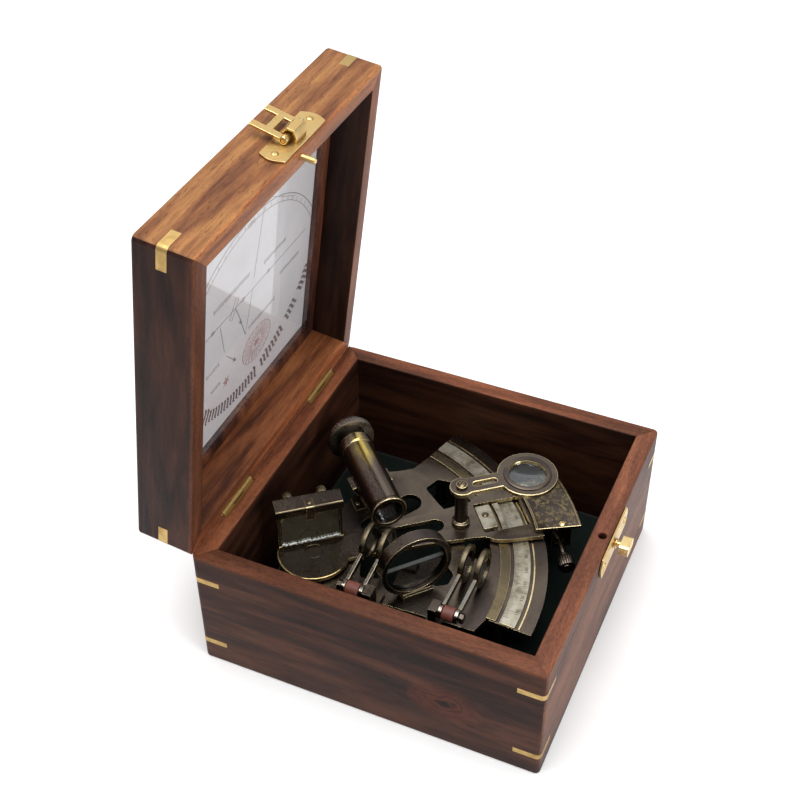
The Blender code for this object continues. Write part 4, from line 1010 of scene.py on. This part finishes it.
def build_turned():
    """Knurled grips and turned parts, finer than the frame's copies."""
    heading = Vector(SIGHT)
    tube = at(-10.5, 18.0, 52.5, heading)
    inner = 6.5
    body = [(inner, 0), (8.1, 0), (8.3, 0.15), (8.5, 0.9), (8.4, 1.3), (8.0, 2.2), (7.75, 3.0), (7.7, 3.4),
            (7.7, 42.0),
            (8.2, 42.6), (8.3, 42.9), (8.3, 46.8), (8.1, 47.0), (5.6, 47.0), (5.6, 35.0), (inner, 34.0)]
    piece("telescope_tube_turned", lathe(body, 80), [TUBE, EDGE], "sextant", tube, 0.2, 3,
          ("telescope_tube",))
    neck = 50.2
    cup = [(3.6, 41.0), (5.2, 41.0), (5.2, neck), (8.6, neck + 0.6), (11.0, neck + 0.9), (11.3, neck + 1.3),
           (11.3, neck + 3.9), (11.1, neck + 4.4), (10.2, neck + 6.2), (7.0, neck + 7.4), (3.6, neck + 7.4)]
    piece("eyepiece_turned", lathe(cup, 112, -0.3, (5, 6)), [CUP], "eyepiece", tube,
          replaces=("eyepiece",), sharp=28)
    joint = JOINT["tangent_turn"]
    axis = Vector(joint["axis"])
    place = at(*(Vector(joint["pos_m"]) / MM), axis)
    low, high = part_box("tangent_screw")
    knob_side = 1 if axis.dot((low + high) / 2 - Vector(joint["pos_m"])) > 0 else -1
    if knob_side < 0:
        place = place @ Matrix.Rotation(math.pi, 4, "X")
    parts = [ring(1.4, 0, -4.5, 9.4, 28), ring(2.6, 0, 9.3, 11.2, 32, 0.4), knurled(3.8, 11.3, 16.8, 26, 0.3),
             ring(2.2, 0, 16.6, 17.4, 28, 0.3)]
    piece("tangent_screw_turned", joined(parts), [BRONZE], "tangent_screw", place,
          replaces=("tangent_screw",))
    parts = [knurled(4.2, 15.1, 19.8, 28, 0.3), ring(2.4, 0, 19.7, 20.6, 28, 0.3),
             ring(1.4, 0, 20.5, 29.8, 28)]
    piece("clamp_screw_turned", joined(parts), [BRONZE], "clamp_screw", ARM @ at(112, 1, 0),
          replaces=("clamp_screw",))


def build_sextant():
    for node, width in (("sextant_frame", 0.34), ("index_arm", 0.5), ("magnifier_arm", 0.34),
                        ("end_plate", 0.3)):
        refined(node, [BRONZE, EDGE], width, 3, second=(0, 0, 1) if node.endswith("_arm") else None)
    for node in ("index_mirror_bracket", "horizon_mirror_frame", "magnifier_post"):
        refined(node, [BRONZE, EDGE], 0.24, 3)
    refined("pivot_screw", [BRONZE], 0.2, 2)
    for node in ("handle_bracket", "leg_1", "leg_2", "leg_3", "telescope_bracket",
                 "index_shade_bracket", "horizon_shade_bracket"):
        refined(node, [BRONZE, EDGE], 0.2, 2)
    refined("handle_grip", [WOOD["grip"]], 2.6, 5)
    for kind in ("index", "horizon"):
        refined(kind + "_shade_washer", [FIBRE], 0.3, 3)
        for i in (1, 2):
            refined(f"{kind}_shade_ring_{i}", [STEEL, STEEL_EDGE], 0.25, 3)
            refined(f"{kind}_shade_glass_{i}", [SHADE], 0.1, 2)
            tilt, length = (8.0, 25.5) if kind == "index" else (1.4, 29.0)
            swing = at(*joint_point(f"{kind}_shade_{i}_swing")) @ Matrix.Rotation(-math.radians(tilt), 4, "Y")
            cell = moved(ring(8.75, 6.9, -1.25, 1.25, 64, 0.35), at(length, 0, 0, (0, 1, 0)))
            piece(f"{kind}_shade_cell_{i}", cell, [OLIVE], f"{kind}_shade_{i}", swing)
    refined("arc_scale", [SILVER, EDGE], 0.1, 2)
    refined("vernier_plate", [SILVER, EDGE], 0.12, 2)
    for node in ("objective_lens", "eyepiece_lens", "magnifier_lens"):
        refined(node, [LENS], 0.0)
    a = math.radians(48)
    # The mirror glass's edge faces take the near-black painted shade.
    refined("horizon_mirror", [MIRROR, BLACK], 0.05, 1, second=(math.cos(a), math.sin(a), 0))
    refined("index_mirror", [MIRROR_DARK], 0.1)
    build_scale()
    build_arm_details()
    build_index_mirror()
    build_turned()


# ---- stage

def build_stage():
    bm = bmesh.new()
    bmesh.ops.create_grid(bm, x_segments=1, y_segments=1, size=6.0)
    floor = bpy.data.objects.new("floor", mesh_from(bm))
    floor.data.materials.append(FLOOR)
    floor.location.z = -0.0002
    link(floor)
    world = bpy.data.worlds.new("studio")
    world.use_nodes = True
    world.node_tree.nodes["Background"].inputs["Color"].default_value = (1, 1, 1, 1)
    world.node_tree.nodes["Background"].inputs["Strength"].default_value = 0.46
    bpy.context.scene.world = world

    def area(name, spot, aim, size, power):
        light = bpy.data.lights.new(name, "AREA")
        light.shape = "DISK"
        light.size = size
        light.energy = power
        made = bpy.data.objects.new(name, light)
        made.location = spot
        made.rotation_euler = (Vector(aim) - Vector(spot)).to_track_quat("-Z", "Y").to_euler()
        link(made)

    area("key_light", (-0.10, 0.10, 1.15), (0, 0, 0.08), 1.3, 19)
    area("front_light", (-0.35, -1.30, 0.50), (0, 0.05, 0.12), 0.75, 11)
    area("back_light", (0.85, 0.42, 0.95), (0, 0, 0.05), 1.1, 1.7)

    camera = bpy.data.cameras.new("camera")
    camera.sensor_width = 36.0
    camera.lens = 62.13
    camera.clip_start = 0.02
    holder = bpy.data.objects.new("camera", camera)
    link(holder)
    right = (0.40557, -0.91403, -0.00832)
    up = (0.59863, 0.25872, 0.75810)
    back = (-0.69077, -0.31244, 0.65209)
    spot = (-0.39912, -0.16215, 0.48864)
    holder.matrix_world = Matrix([(right[i], up[i], back[i], spot[i]) for i in range(3)] + [(0, 0, 0, 1)])
    bpy.context.scene.camera = holder
    bpy.context.scene.view_settings.view_transform = "Standard"


build_case()
build_latch()
build_felt()
build_card()
build_sextant()
build_stage()
